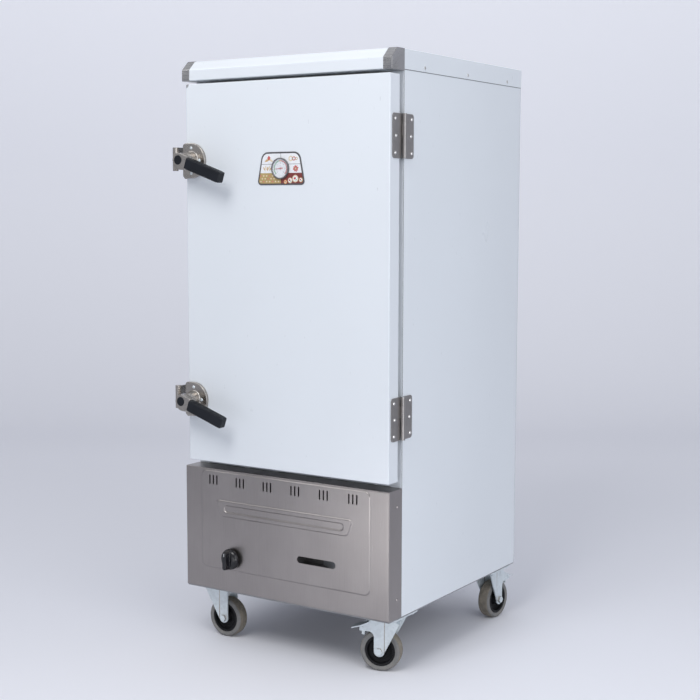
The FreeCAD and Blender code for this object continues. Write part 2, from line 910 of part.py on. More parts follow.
def door_skin():
    outer = box(door_left, half_width, door_front, door_back, door_bottom, door_top)
    hollow = box(
        door_left + sheet, half_width - sheet, door_front + sheet, door_back + 1,
        door_bottom + sheet, door_top - sheet,
    )
    skin = outer.cut(hollow)
    skin = skin.cut(screw_holes(door_screw_places(), x_axis, 2.0, 12))
    skin = skin.cut(screw_holes(latch_screw_places(), y_axis, 2.0, 22))
    return skin.cut(rod(stem_radius, (plaque_x, door_front - 5, plaque_height), y_axis, 20))


def door_liner():
    edge = sheet
    plate = box(door_left + edge, half_width - edge, door_back - sheet, door_back, door_bottom + edge, door_top - edge)
    x0 = door_left + door_field_inset
    x1 = half_width - door_field_inset - 16
    z0 = door_bottom + door_field_inset + 4
    z1 = door_top - door_field_inset - 4
    rise = door_field_rise
    field = rounded_box(x0, x1, door_back - sheet, door_back + rise, z0, z1, y_axis, 20.0)
    rim = [e for e in field.Edges if e.BoundBox.YMin > door_back + rise - 0.01]
    field = field.makeChamfer(rise * 0.9, rim)
    hollow = moved(field, y=-sheet)
    liner = plate.fuse(field).cut(hollow)
    return liner.cut(rod(stem_radius, (plaque_x, door_back - 5, plaque_height), y_axis, 20))


def door_lagging():
    gap = 0.5
    block = box(
        door_left + sheet + gap, half_width - sheet - gap, door_front + sheet + gap, door_back - sheet - gap,
        door_bottom + sheet + gap, door_top - sheet - gap,
    )
    block = block.cut(rod(stem_radius + gap, (plaque_x, door_front, plaque_height), y_axis, 50))
    deep = screw_holes(latch_screw_places(), y_axis, 2.5, 40)
    return block.cut(deep)


def door_gasket():
    x0 = door_left + gasket_inset
    x1 = half_width - gasket_inset - 16
    z0 = door_bottom + gasket_inset
    z1 = door_top - gasket_inset
    w = gasket_width
    front = -sheet - gasket_clearance
    ring = rounded_box(x0, x1, door_back, front, z0, z1, y_axis, 18.0)
    return ring.cut(rounded_box(x0 + w, x1 - w, door_back - 1, 1, z0 + w, z1 - w, y_axis, 5.0))


# Hinges

def leaf_plate(y0, y1, height, round_front):
    half = hinge_length / 2
    plate = box(half_width, half_width + leaf_thickness, y0, y1, height - half, height + half)
    edge_y = y0 if round_front else y1
    chosen = [e for e in edges_along(plate, x_axis) if abs(e.BoundBox.Center.y - edge_y) < 0.01]
    return plate.makeFillet(leaf_corner, chosen)


def knuckle(z0, z1, leaf_edge):
    """One rolled knuckle and the web that joins it to its leaf."""
    roll = rod(knuckle_radius, (hinge_axis_x, hinge_axis_y, z0), z_axis, z1 - z0)
    web = box(
        half_width, half_width + leaf_thickness, min(leaf_edge, hinge_axis_y), max(leaf_edge, hinge_axis_y), z0, z1,
    )
    return roll.fuse(web)


def hinge_bore(height):
    half = hinge_length / 2
    return rod(
        hinge_pin_radius + pin_clearance, (hinge_axis_x, hinge_axis_y, height - half - 1), z_axis, hinge_length + 2,
    )


def frame_leaf(height):
    low = height - hinge_length / 2
    plate = leaf_plate(frame_leaf_front, frame_leaf_back, height, False)
    lower = knuckle(low, low + hinge_length * door_knuckle_low - knuckle_gap, frame_leaf_front)
    upper = knuckle(low + hinge_length * door_knuckle_high + knuckle_gap, low + hinge_length, frame_leaf_front)
    leaf = fuse(plate, lower, upper).cut(hinge_bore(height))
    return leaf.cut(screw_holes(frame_screw_places(), x_axis))


def door_leaf(height):
    low = height - hinge_length / 2
    plate = leaf_plate(door_leaf_front, door_leaf_back, height, True)
    middle = knuckle(low + hinge_length * door_knuckle_low, low + hinge_length * door_knuckle_high, door_leaf_back)
    leaf = fuse(plate, middle).cut(hinge_bore(height))
    return leaf.cut(screw_holes(door_screw_places(), x_axis))


def hinge_pin(height):
    half = hinge_length / 2
    return rod(hinge_pin_radius, (hinge_axis_x, hinge_axis_y, height - half - 0.5), z_axis, hinge_length + 1)


# Latches

def latch_outline(height, y):
    """The base plate's outline: square with rounded corners on the left, a half round on the right."""
    def at(u, w):
        return Vec(latch_axis_x + u, y, height - 0.5 + w)

    left = -latch_plate_left
    right = latch_plate_round - latch_plate_flat
    flat = -latch_plate_flat
    r = latch_plate_round
    c = latch_plate_corner
    k = c * (1 - math.sqrt(0.5))
    edges = [
        Part.LineSegment(at(left, c - r), at(left, r - c)).toShape(),
        Part.Arc(at(left, r - c), at(left + k, r - k), at(left + c, r)).toShape(),
        Part.LineSegment(at(left + c, r), at(flat, r)).toShape(),
        Part.Arc(at(flat, r), at(right, 0), at(flat, -r)).toShape(),
        Part.LineSegment(at(flat, -r), at(left + c, -r)).toShape(),
        Part.Arc(at(left + c, -r), at(left + k, k - r), at(left, c - r)).toShape(),
    ]
    return Part.Face(Part.Wire(edges))


def cam_strip(height, y0, y1, half, reach, angle):
    """A round-ended strip from the latch axis, pointing left and turned by angle."""
    x = latch_axis_x
    strip = box(x - reach + half, x, y0, y1, height - half, height + half)
    end = rod(half, (x - reach + half, y0, height), y_axis, y1 - y0)
    return turned(strip.fuse(end), (x, 0, height), Vec(0, -1, 0), angle)


def cam_room(height, y0, y1):
    """The space that the cam sweeps, with clearance all round it."""
    half = cam_half_width + 1
    reach = cam_reach + 2
    room = cam_strip(height, y0, y1, half, reach, 0)
    room = room.fuse(cam_strip(height, y0, y1, half, reach, cam_swing))
    sector = Part.makeCylinder(reach, y1 - y0, Vec(latch_axis_x, y1, height), Vec(0, -1, 0), cam_swing)
    facing = sector.CenterOfMass - Vec(latch_axis_x, (y0 + y1) / 2, height)
    now = math.degrees(math.atan2(facing.z, facing.x))
    wanted = 180 + cam_swing / 2
    sector.rotate(Vec(latch_axis_x, 0, height), Vec(0, -1, 0), wanted - now)
    room = room.fuse(sector)
    return room.fuse(rod(spindle_radius + 9, (latch_axis_x, y0, height), y_axis, y1 - y0))


def latch_base(height):
    face = door_front - latch_base_thickness
    plate = latch_outline(height, face).extrude(Vec(0, latch_base_thickness, 0))
    rim = [e for e in plate.Edges if e.BoundBox.YMax < face + 0.01]
    plate = plate.makeFillet(1.5, rim)
    tip = door_front - latch_hub_back + 0.3
    boss = Part.makeCone(
        latch_boss_foot, latch_boss_tip, face - tip + 0.5, Vec(latch_axis_x, face + 0.5, height), Vec(0, -1, 0),
    )
    base = plate.fuse(boss)
    base = base.cut(cam_room(height, face + latch_cover, door_front + 1))
    base = base.cut(rod(spindle_radius + running_gap, (latch_axis_x, tip - 5, height), y_axis, 60))
    return base.cut(screw_holes(latch_screw_places(), y_axis, 2.0, 22))


def latch_lever(height):
    """Hub, block and tang in one casting, with the spindle and the cam riveted on its end.

    Here the lever is let go: its cam is folded down inside the base plate, and pressing the
    grip down by cam_swing brings the cam up behind the keeper's barrel.
    """
    x = latch_axis_x
    hub_back = door_front - latch_hub_back
    hub_front = hub_back - latch_hub_length
    hub = rod(latch_hub_radius, (x, hub_front, height), y_axis, latch_hub_length)
    half = latch_block_height / 2
    block = box(x, x + latch_block_reach, hub_front, hub_back, height - half, height + half)
    far = [e for e in edges_along(block, z_axis) if e.BoundBox.Center.x > x + 1]
    block = block.makeFillet(2.5, far)
    middle = hub_front + grip_offset()
    tang = box(
        x + latch_block_reach - 2, x + tang_end, middle - tang_depth / 2, middle + tang_depth / 2,
        height - tang_height / 2, height + tang_height / 2,
    )
    arm = turned(fuse(hub, block, tang), (x, 0, height), y_axis, latch_droop)
    cam_back = door_front - 1.4
    spindle = rod(spindle_radius, (x, hub_back - 2, height), y_axis, cam_back - hub_back + 2)
    cam = cam_strip(height, cam_back - cam_thickness, cam_back, cam_half_width, cam_reach, cam_swing)
    cam_disc = rod(spindle_radius + 4, (x, cam_back - cam_thickness, height), y_axis, cam_thickness)
    return fuse(arm, spindle, cam, cam_disc)


def grip_offset():
    return latch_hub_length / 2 - 3.0


def latch_grip(height):
    """Moulded grip over the tang, and the cap in the hub's face."""
    x = latch_axis_x
    hub_front = door_front - latch_hub_back - latch_hub_length
    middle = hub_front + grip_offset()
    half = grip_height / 2
    start = x + latch_block_reach + 0.1
    block = box(start, x + grip_end, middle - grip_depth / 2, middle + grip_depth / 2, height - half, height + half)
    block = block.makeFillet(2.5, edges_along(block, x_axis))
    ends = [e for e in block.Edges if e.BoundBox.XMin > x + grip_end - 0.01]
    block = block.makeChamfer(2.4, ends)
    tang = box(
        start - 1, x + tang_end, middle - tang_depth / 2, middle + tang_depth / 2,
        height - tang_height / 2, height + tang_height / 2,
    )
    block = block.cut(tang)
    block = turned(block, (x, 0, height), y_axis, latch_droop)
    cap = rod(hub_cap_radius, (x, hub_front - hub_cap_thickness, height), y_axis, hub_cap_thickness)
    rim = [e for e in cap.Edges if e.Closed and e.BoundBox.YMax < hub_front - hub_cap_thickness + 0.01]
    cap = cap.makeFillet(1.2, rim)
    return Part.makeCompound([block, cap])


def keeper(height):
    """Plate on the cabinet's side with one arm forward to a rolled barrel."""
    face = -half_width
    out = face - keeper_thickness
    low = height + keeper_low
    high = height + keeper_high
    foot = box(out, face, 2, keeper_foot, low, high)
    rear = [e for e in edges_along(foot, x_axis) if e.BoundBox.Center.y > keeper_foot - 1]
    foot = foot.makeFillet(6.0, rear)
    arm = box(out, face, keeper_barrel_y, 3, height + keeper_arm_low, high)
    barrel = rod(keeper_barrel_radius, (keeper_barrel_x, keeper_barrel_y, low), z_axis, high - low)
    plate = fuse(foot, arm, barrel)
    return plate.cut(screw_holes(keeper_screw_places(), x_axis))


# Thermometer

def thermometer_plaque():
    z0 = plaque_height - plaque_tall / 2
    z1 = plaque_height + plaque_tall / 2
    front = door_front - plaque_sheet
    corners = (
        (plaque_x - plaque_bottom_half, front, z0),
        (plaque_x + plaque_bottom_half, front, z0),
        (plaque_x + plaque_top_half, front, z1),
        (plaque_x - plaque_top_half, front, z1),
    )
    plate = prism(corners, Vec(0, plaque_sheet, 0))
    uprights = edges_along(plate, y_axis)
    plate = plate.makeFillet(9.0, [e for e in uprights if e.BoundBox.Center.z < plaque_height])
    uprights = edges_along(plate, y_axis)
    upper = [e for e in uprights if e.BoundBox.Center.z > z1 - 1 and e.Length < plaque_sheet + 0.1]
    plate = plate.makeFillet(20.0, upper)
    return plate.cut(rod(stem_radius, (plaque_x, front - 1, plaque_height), y_axis, 5))


def thermometer_case():
    back = door_front - plaque_sheet
    front = back - dial_depth
    body = rod(dial_radius, (plaque_x, front, plaque_height), y_axis, dial_depth)
    rim = [e for e in body.Edges if e.Closed and e.BoundBox.YMax < front + 0.01]
    body = body.makeFillet(1.2, rim)
    body = body.cut(rod(dial_bore, (plaque_x, front - 1, plaque_height), y_axis, dial_depth - dial_floor + 1))
    stem = rod(stem_radius, (plaque_x, back - 0.5, plaque_height), y_axis, stem_reach + door_back + plaque_sheet - door_front)
    post = rod(0.8, (plaque_x, back - dial_floor - 2.2, plaque_height), y_axis, 2.4)
    return fuse(body, stem, post)


def thermometer_lens():
    front = door_front - plaque_sheet - dial_depth
    return rod(dial_bore - 0.1, (plaque_x, front + 0.6, plaque_height), y_axis, 1.2)


def thermometer_pointer():
    face = door_front - plaque_sheet - dial_floor
    y0 = face - 1.4
    hub = rod(2.4, (plaque_x, y0, plaque_height), y_axis, 0.8)
    blade = prism(
        (
            (plaque_x - 7, y0, plaque_height - 1.3),
            (plaque_x + 17, y0, plaque_height - 0.25),
            (plaque_x + 17, y0, plaque_height + 0.25),
            (plaque_x - 7, y0, plaque_height + 1.3),
        ),
        Vec(0, 0.8, 0),
    )
    pointer = fuse(hub, blade).cut(rod(0.8 + pin_clearance, (plaque_x, y0 - 1, plaque_height), y_axis, 3))
    return turned(pointer, (plaque_x, 0, plaque_height), Vec(0, -1, 0), pointer_turn)


# Underframe

def caster_centres():
    places = []
    for name, side, rear, trail, braked in casters:
        y = caster_rear_y if rear else caster_front_y
        places.append((name, side * caster_x, y, trail, braked))
    return places


def bolt_places():
    places = []
    for name, x, y, trail, braked in caster_centres():
        for sx in (-1, 1):
            for sy in (-1, 1):
                places.append((x + sx * bolt_half_x, y + sy * bolt_half_y))
    return places


def base_frame():
    z0, z1 = frame_bottom, underside
    edge = inside_x
    front = -panel_reach + 3
    back = body_depth - 2 * sheet
    ring = box(-edge, edge, front, back, z0, z1)
    ring = ring.cut(box(-edge + frame_bar, edge - frame_bar, front + frame_bar, back - frame_bar, z0 - 1, z1 + 1))
    pieces = [ring]
    for side in (-1, 1):
        near, far = side * inner_rail_near, side * inner_rail_far
        pieces.append(box(min(near, far), max(near, far), front, back, z0, z1))
        face, lip = side * edge, side * (edge - frame_thick)
        pieces.append(box(min(face, lip), max(face, lip), 2, back, z1, z1 + frame_upstand))
    for y in cross_bars:
        half = cross_bar_width / 2
        pieces.append(box(-inner_rail_near, inner_rail_near, y - half, y + half, z0, z1))
    pieces.append(box(-edge + frame_thick, edge - frame_thick, back - frame_thick, back, z1, z1 + frame_upstand))
    frame = fuse(*pieces)
    for x, y in bolt_places():
        frame = frame.cut(rod(bolt_radius + bolt_clearance, (x, y, z0 - 1), z_axis, 10))
    for side in (-1, 1):
        places = [p for p in back_screw_places() if p[0] * side > 0]
        frame = frame.cut(screw_holes(places, y_axis, 2.2, 20))
    return frame


def caster_bolts():
    solids = []
    for x, y in bolt_places():
        head = hex_rod(13, (x, y, plate_bottom - 5.3), z_axis, 5.3)
        shank = rod(bolt_radius, (x, y, plate_bottom), z_axis, underside - plate_bottom + 9)
        solids.append(fuse(head, shank))
        nut = hex_rod(13, (x, y, underside), z_axis, 6.5)
        solids.append(nut.cut(rod(bolt_radius + pin_clearance, (x, y, underside - 1), z_axis, 10)))
    return Part.makeCompound(solids)


def caster_plate(x, y):
    plate = rounded_box(
        x - plate_x / 2, x + plate_x / 2, y - plate_y / 2, y + plate_y / 2, plate_bottom, frame_bottom, z_axis, 7.0,
    )
    race = rod(race_radius, (x, y, crown_top), z_axis, race_height)
    top = [e for e in race.Edges if e.Closed and e.BoundBox.ZMax < crown_top + 0.01]
    race = race.makeChamfer(2.0, top)
    under = crown_top - seat_gap - crown_thick
    kingpin = rod(kingpin_radius, (x, y, under - 3), z_axis, crown_top - under + 4)
    rivet = rod(kingpin_radius + 3, (x, y, under - seat_gap - 3), z_axis, 3)
    whole = fuse(plate, race, kingpin, rivet)
    for sx in (-1, 1):
        for sy in (-1, 1):
            hole = (x + sx * bolt_half_x, y + sy * bolt_half_y, plate_bottom - 1)
            whole = whole.cut(rod(bolt_radius + bolt_clearance, hole, z_axis, plate_thick + 2))
    return whole


def tangent_point(px, pz, cx, cz, radius, sign):
    """Where the line from a point touches a circle, on the side given by sign."""
    dx, dz = px - cx, pz - cz
    away = math.hypot(dx, dz)
    angle = math.atan2(dz, dx) + sign * math.acos(radius / away)
    return cx + radius * math.cos(angle), cz + radius * math.sin(angle)


def leg_outline(braked):
    """One fork leg seen from the side: u runs along the trail, z up."""
    top = crown_top - seat_gap
    cu, cz, r = caster_trail, wheel_radius, 13.0
    shoulder = (-crown_radius + 3, top - 10)
    tu, tz = tangent_point(shoulder[0], shoulder[1], cu, cz, r, 1)

    def at(u, z):
        return Vec(u, 0, z)

    edges = [
        Part.LineSegment(at(-crown_radius + 3, top), at(*shoulder)).toShape(),
        Part.LineSegment(at(*shoulder), at(tu, tz)).toShape(),
        Part.Arc(at(tu, tz), at(cu, cz - r), at(cu + r, cz)).toShape(),
    ]
    trailing = cu + r
    if braked:
        bend = 14.0
        under = pedal_pivot_z - 7
        tip = pedal_pivot_u + 8
        corner = bend * (1 - math.sqrt(0.5))
        edges += [
            Part.LineSegment(at(trailing, cz), at(trailing, under - bend)).toShape(),
            Part.Arc(at(trailing, under - bend), at(trailing + corner, under - corner), at(trailing + bend, under)).toShape(),
            Part.LineSegment(at(trailing + bend, under), at(tip, under)).toShape(),
            Part.LineSegment(at(tip, under), at(tip, under + 12)).toShape(),
            Part.LineSegment(at(tip, under + 12), at(trailing + bend, under + 22)).toShape(),
            Part.LineSegment(at(trailing + bend, under + 22), at(trailing, top)).toShape(),
        ]
    else:
        edges.append(Part.LineSegment(at(trailing, cz), at(trailing, top)).toShape())
    edges.append(Part.LineSegment(at(trailing, top), at(-crown_radius + 3, top)).toShape())
    return Part.Face(Part.Wire(edges))


def to_caster(shape, x, y, trail):
    """Turn a shape drawn with u along +x at the origin to the caster's place."""
    copy = turned(shape, (0, 0, 0), z_axis, trail)
    return moved(copy, x, y)


def caster_fork(x, y, trail, braked):
    top = crown_top - seat_gap
    under = top - crown_thick
    outer = fork_inside + fork_sheet
    face = leg_outline(braked)
    near = moved(face, y=fork_inside).extrude(Vec(0, fork_sheet, 0))
    far = moved(face, y=-outer).extrude(Vec(0, fork_sheet, 0))
    crown = rod(crown_radius, (0, 0, under), z_axis, crown_thick)
    bridge = box(-crown_radius + 3, caster_trail + 13, -outer, outer, under, top)
    fork = fuse(near, far, crown, bridge)
    fork = fork.cut(rod(kingpin_radius + running_gap, (0, 0, under - 5), z_axis, 20))
    fork = fork.cut(rod(axle_radius + running_gap, (caster_trail, -40, wheel_radius), y_axis, 80))
    axle = rod(axle_radius, (caster_trail, -outer - 1, wheel_radius), y_axis, 2 * outer + 2)
    head = hex_rod(15, (caster_trail, outer, wheel_radius), y_axis, 5)
    nut = hex_rod(15, (caster_trail, -outer - 6, wheel_radius), y_axis, 6)
    solids = [fork, fuse(axle, head, nut)]
    if braked:
        pin = rod(3.0, (pedal_pivot_u, -outer - 1, pedal_pivot_z), y_axis, 2 * outer + 2)
        solids[0] = solids[0].cut(rod(3.0 + running_gap, (pedal_pivot_u, -40, pedal_pivot_z), y_axis, 80))
        solids.append(pin)
    return to_caster(Part.makeCompound(solids), x, y, trail)


def wheel_core(x, y, trail):
    half_hub = fork_inside - 0.5
    half_rim = wheel_width / 2 - 1
    c = (caster_trail, 0, wheel_radius)

    def drum(radius, half):
        return rod(radius, (c[0], -half, c[2]), y_axis, 2 * half)

    rim = drum(core_radius, half_rim).cut(drum(core_radius - core_wall, half_rim + 1))
    web = drum(core_radius - core_wall + 0.5, core_web_half)
    core = fuse(rim, web, drum(core_hub_radius, half_hub)).cut(drum(axle_radius + running_gap, 60))
    return to_caster(core, x, y, trail)


def tyre(x, y, trail):
    half = wheel_width / 2
    ring = rod(wheel_radius, (caster_trail, -half, wheel_radius), y_axis, wheel_width)
    ring = ring.makeFillet(6.0, [e for e in ring.Edges if e.Closed])
    ring = ring.cut(rod(core_radius, (caster_trail, -half - 1, wheel_radius), y_axis, wheel_width + 2))
    return to_caster(ring, x, y, trail)


def brake_pedal(x, y, trail):
    """Foot pedal on its cross pin, with the cam that meets the tread when it is trodden down."""
    u, z = pedal_pivot_u, pedal_pivot_z
    half = fork_inside - 1
    boss = rod(6.0, (u, -half, z), y_axis, 2 * half)
    plate = prism(
        ((u - 6, -half, z + 2), (u + 6, -half, z + 5), (u + 30, -half, z - 2.5), (u + 30, -half, z - 5),
         (u + 6, -half, z + 2), (u - 6, -half, z - 1)),
        Vec(0, 2 * half, 0),
    )
    cam = box(u - 3.5, u + 3.5, -half + 4, half - 4, z - 18.3, z)
    cam = turned(cam, (u, 0, z), y_axis, -5)
    pedal = fuse(boss, plate, cam)
    pedal = pedal.cut(rod(3.0 + running_gap, (u, -40, z), y_axis, 80))
    return to_caster(pedal, x, y, trail)


# Screws, in one group for the cabinet and one for the door

def cabinet_screws():
    solids = [screw(p, x_axis) for p in frame_screw_places()]
    solids += [screw(p, Vec(-1, 0, 0)) for p in keeper_screw_places()]
    solids += [screw(p, y_axis, shank=2.0) for p in back_screw_places()]
    for p in panel_screw_places():
        solids.append(screw(p, Vec(math.copysign(1, p[0]), 0, 0), shank=1.0))
    for p in rivet_side_places():
        outward = Vec(math.copysign(1, p[0]), 0, 0)
        solids.append(screw(p, outward, head_radius=3.0, head_height=1.2, shank_radius=1.6, shank=2.0))
    for p in rivet_rear_places():
        solids.append(screw(p, y_axis, head_radius=3.0, head_height=1.2, shank_radius=1.6, shank=2.0))
    return Part.makeCompound(solids)


def door_screws():
    solids = [screw(p, x_axis) for p in door_screw_places()]
    depth = latch_base_thickness + sheet
    solids += [screw(p, Vec(0, -1, 0), shank=depth) for p in latch_screw_places()]
    return Part.makeCompound(solids)


# Every node, by name

def build():
    nodes["side_panel_left"] = side_panel(-1)
    nodes["side_panel_right"] = side_panel(1)
    nodes["back_panel"] = back_panel()
    nodes["top_cover"] = top_cover()
    nodes["canopy"] = canopy()
    nodes["canopy_caps"] = canopy_caps()
    nodes["burner_panel"] = burner_panel()
    nodes["base_frame"] = base_frame()
    nodes["chamber_liner"] = chamber_liner()
    nodes["cabinet_lagging"] = lagging()
    nodes["tray_rack_left"] = tray_rack(-1)
    nodes["tray_rack_right"] = tray_rack(1)
    half_stack = tray_count // 2
    nodes["rice_trays_lower"] = Part.makeCompound([tray(i) for i in range(half_stack)])
    nodes["rice_trays_upper"] = Part.makeCompound([tray(i) for i in range(half_stack, tray_count)])
    nodes["water_tank"] = water_tank()
    nodes["water_inlet"] = water_inlet()
    nodes["float_ball"] = float_ball()
    nodes["drain_valve"] = drain_valve()
    nodes["drain_lever"] = drain_lever()
    nodes["steam_vent"] = steam_vent()
    nodes["burner"] = burner()
    nodes["gas_line"] = gas_line()
    nodes["gas_valve"] = gas_valve()
    nodes["valve_stem"] = valve_stem()
    nodes["gas_knob"] = gas_knob()
    nodes["door_skin"] = door_skin()
    nodes["door_liner"] = door_liner()
    nodes["door_lagging"] = door_lagging()
    nodes["door_gasket"] = door_gasket()
    nodes["hinge_frame_leaves"] = Part.makeCompound([frame_leaf(h) for h in hinge_heights])
    nodes["hinge_door_leaves"] = Part.makeCompound([door_leaf(h) for h in hinge_heights])
    nodes["hinge_pins"] = Part.makeCompound([hinge_pin(h) for h in hinge_heights])
    nodes["thermometer_plaque"] = thermometer_plaque()
    nodes["thermometer_case"] = thermometer_case()
    nodes["thermometer_lens"] = thermometer_lens()
    nodes["thermometer_pointer"] = thermometer_pointer()
    nodes["latch_bases"] = Part.makeCompound([latch_base(h) for h in latch_heights])
    nodes["latch_keepers"] = Part.makeCompound([keeper(h) for h in latch_heights])
    for name, height in zip(("upper", "lower"), latch_heights):
        nodes["latch_lever_" + name] = latch_lever(height)
        nodes["latch_grip_" + name] = latch_grip(height)
    nodes["caster_plates"] = Part.makeCompound([caster_plate(x, y) for n, x, y, t, b in caster_centres()])
    nodes["caster_bolts"] = caster_bolts()
    for name, x, y, trail, braked in caster_centres():
        nodes["caster_fork_" + name] = caster_fork(x, y, trail, braked)
        nodes["wheel_core_" + name] = wheel_core(x, y, trail)
        nodes["tyre_" + name] = tyre(x, y, trail)
        if braked:
            nodes["brake_pedal_" + name] = brake_pedal(x, y, trail)
    nodes["cabinet_screws"] = cabinet_screws()
    nodes["door_screws"] = door_screws()


build()

# The origin is the middle of the whole object's footprint, on the floor
whole_box = FreeCAD.BoundBox()
for shape in nodes.values():
    whole_box.add(shape.optimalBoundingBox(False, False))
shift = Vec(-whole_box.Center.x, -whole_box.Center.y, -whole_box.ZMin)
for name, shape in nodes.items():
    shape.translate(shift)
    shape.exportStep("parts/" + name + ".step")
    flaws = [s for s in shape.Solids if not s.isValid() or s.Volume < 0.1]
    if flaws or not shape.Solids:
        print("check", name, len(shape.Solids), "solids,", len(flaws), "flawed")
print(len(nodes), "nodes,", sum(len(s.Solids) for s in nodes.values()), "solids")
print("box", round(whole_box.XLength, 2), round(whole_box.YLength, 2), round(whole_box.ZLength, 2))
print("shift", round(shift.x, 3), round(shift.y, 3), round(shift.z, 3))
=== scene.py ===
# Rice steamer cabinet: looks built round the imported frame
import json
from functools import partial
from math import atan2, copysign, cos, hypot, pi, radians, sin, tan
import bpy
import bmesh
from mathutils import Matrix, Quaternion, Vector, noise

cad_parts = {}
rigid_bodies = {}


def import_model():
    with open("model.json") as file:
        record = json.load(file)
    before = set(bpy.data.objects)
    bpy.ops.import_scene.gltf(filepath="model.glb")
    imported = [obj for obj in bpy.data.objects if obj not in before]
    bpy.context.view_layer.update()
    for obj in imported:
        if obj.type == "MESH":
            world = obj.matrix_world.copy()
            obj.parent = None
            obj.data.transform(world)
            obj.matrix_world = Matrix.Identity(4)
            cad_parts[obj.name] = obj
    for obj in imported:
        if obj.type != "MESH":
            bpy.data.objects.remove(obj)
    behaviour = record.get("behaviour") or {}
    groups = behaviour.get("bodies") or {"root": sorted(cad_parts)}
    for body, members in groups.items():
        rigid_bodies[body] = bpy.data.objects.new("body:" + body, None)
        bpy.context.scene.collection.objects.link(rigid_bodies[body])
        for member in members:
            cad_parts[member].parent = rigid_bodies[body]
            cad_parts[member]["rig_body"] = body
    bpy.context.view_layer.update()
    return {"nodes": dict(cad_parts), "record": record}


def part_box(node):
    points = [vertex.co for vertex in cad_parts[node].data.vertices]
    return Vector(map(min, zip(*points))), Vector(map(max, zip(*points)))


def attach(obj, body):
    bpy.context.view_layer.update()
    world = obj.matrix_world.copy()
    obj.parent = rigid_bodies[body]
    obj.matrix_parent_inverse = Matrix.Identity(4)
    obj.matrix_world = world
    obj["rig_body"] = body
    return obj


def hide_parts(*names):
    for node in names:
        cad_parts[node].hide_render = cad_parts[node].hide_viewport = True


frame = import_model()
nodes = frame["nodes"]
slotOf = {entry["node"]: entry["material_slot"] for entry in frame["record"]["subparts"]}
print("frame loaded:", len(nodes), "nodes")

# Places are given in millimetres from the middle of the body's front edge on the floor
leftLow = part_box("side_panel_left")[0]
bodyCentre = (leftLow.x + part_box("side_panel_right")[1].x) / 2
bodyFront = leftLow.y
collection = bpy.context.scene.collection
mats = {}


def at(x, y, z):
    return Vector((bodyCentre + x / 1000, bodyFront + y / 1000, z / 1000))


def inMm(point):
    # the other way: a place in the frame, in millimetres from the same edge
    return Vector(((point[0] - bodyCentre) * 1000, (point[1] - bodyFront) * 1000, point[2] * 1000))


def nodeBox(name):
    return [inMm(corner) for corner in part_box(name)]


def newObject(name, data):
    thing = bpy.data.objects.new(name, data)
    collection.objects.link(thing)
    return thing


# Node helpers

def setInputs(tree, node, inputs):
    # an input takes a value, a socket, a node's first output, or a list of these
    for key, value in inputs.items():
        for source in value if isinstance(value, list) else [value]:
            source = source.outputs[0] if isinstance(source, bpy.types.Node) else source
            if isinstance(source, bpy.types.NodeSocket):
                tree.links.new(source, node.inputs[key])
            else:
                node.inputs[key].default_value = source


def addNode(tree, kind, inputs=(), **settings):
    # kind is the node's own name; the math nodes are shader nodes in every tree
    family = "ShaderNode" if tree.type == "SHADER" or kind in ("Math", "CombineXYZ") else "GeometryNode"
    node = tree.nodes.new(family + kind)
    for key, value in settings.items():
        setattr(node, key, value)
    setInputs(tree, node, dict(inputs))
    return node


def colorMix(tree, factor, first, second):
    # first is a colour or the socket of one
    first = first if isinstance(first, bpy.types.NodeSocket) else (*first, 1)
    inputs = {"Factor": factor, "A": first, "B": (*second, 1)}
    return addNode(tree, "Mix", inputs, data_type="RGBA").outputs["Result"]


# Mesh helpers

def modify(thing, kind, **settings):
    modifier = thing.modifiers.new(kind.lower(), kind)
    for key, value in settings.items():
        setattr(modifier, key, value)
    return modifier


def bakeModifiers(thing):
    # the evaluated shape becomes the plain mesh, and no modifier is left
    bpy.context.view_layer.update()
    graph = bpy.context.evaluated_depsgraph_get()
    mesh = bpy.data.meshes.new_from_object(thing.evaluated_get(graph))
    old = thing.data
    thing.modifiers.clear()
    thing.data = mesh
    mesh.name = thing.name
    bpy.data.meshes.remove(old)
    return thing


def smooth(thing, angle=34):
    thing.data.shade_smooth()
    thing.data.set_sharp_from_angle(angle=radians(angle))


def evenShading(thing):
    # broad flat faces keep their own shading beside rounded edges
    modify(thing, "WEIGHTED_NORMAL", weight=60, keep_sharp=True)
    return bakeModifiers(thing)


def bevel(thing, width, segments, angle):
    modify(thing, "BEVEL", width=width / 1000, segments=segments, limit_method="ANGLE", angle_limit=radians(angle))
    bakeModifiers(thing)


def walled(thing, thickness):
    # a wall of one sheet behind the faces
    modify(thing, "SOLIDIFY", thickness=thickness / 1000, offset=-1, use_even_offset=True)
    bakeModifiers(thing)
    smooth(thing)
    return thing


def cutFrom(thing, cutter):
    modify(thing, "BOOLEAN", operation="DIFFERENCE", solver="EXACT", object=cutter)
    bakeModifiers(thing)
    data = cutter.data
    bpy.data.objects.remove(cutter)
    bpy.data.meshes.remove(data)


def melt(thing, voxel, passes):
    # one soft-edged skin over everything, with fewer faces
    modify(thing, "REMESH", mode="VOXEL", voxel_size=voxel / 1000)
    modify(thing, "SMOOTH", factor=0.5, iterations=passes)
    modify(thing, "DECIMATE", ratio=0.6)
    bakeModifiers(thing)
    smooth(thing, 50)


def fromBmesh(name, bm, material=None):
    mesh = bpy.data.meshes.new(name)
    bm.to_mesh(mesh)
    bm.free()
    if material:
        mesh.materials.append(mats[material])
    return newObject(name, mesh)


def nodeBmesh(piece, flat=False):
    # a CAD piece's mesh, welded, and with its flat faces made whole again if flat
    bm = bmesh.new()
    bm.from_mesh(nodes[piece].data)
    bmesh.ops.remove_doubles(bm, verts=bm.verts, dist=1e-6)
    if flat:
        bmesh.ops.dissolve_limit(bm, angle_limit=radians(0.5), verts=bm.verts, edges=bm.edges)
    return bm


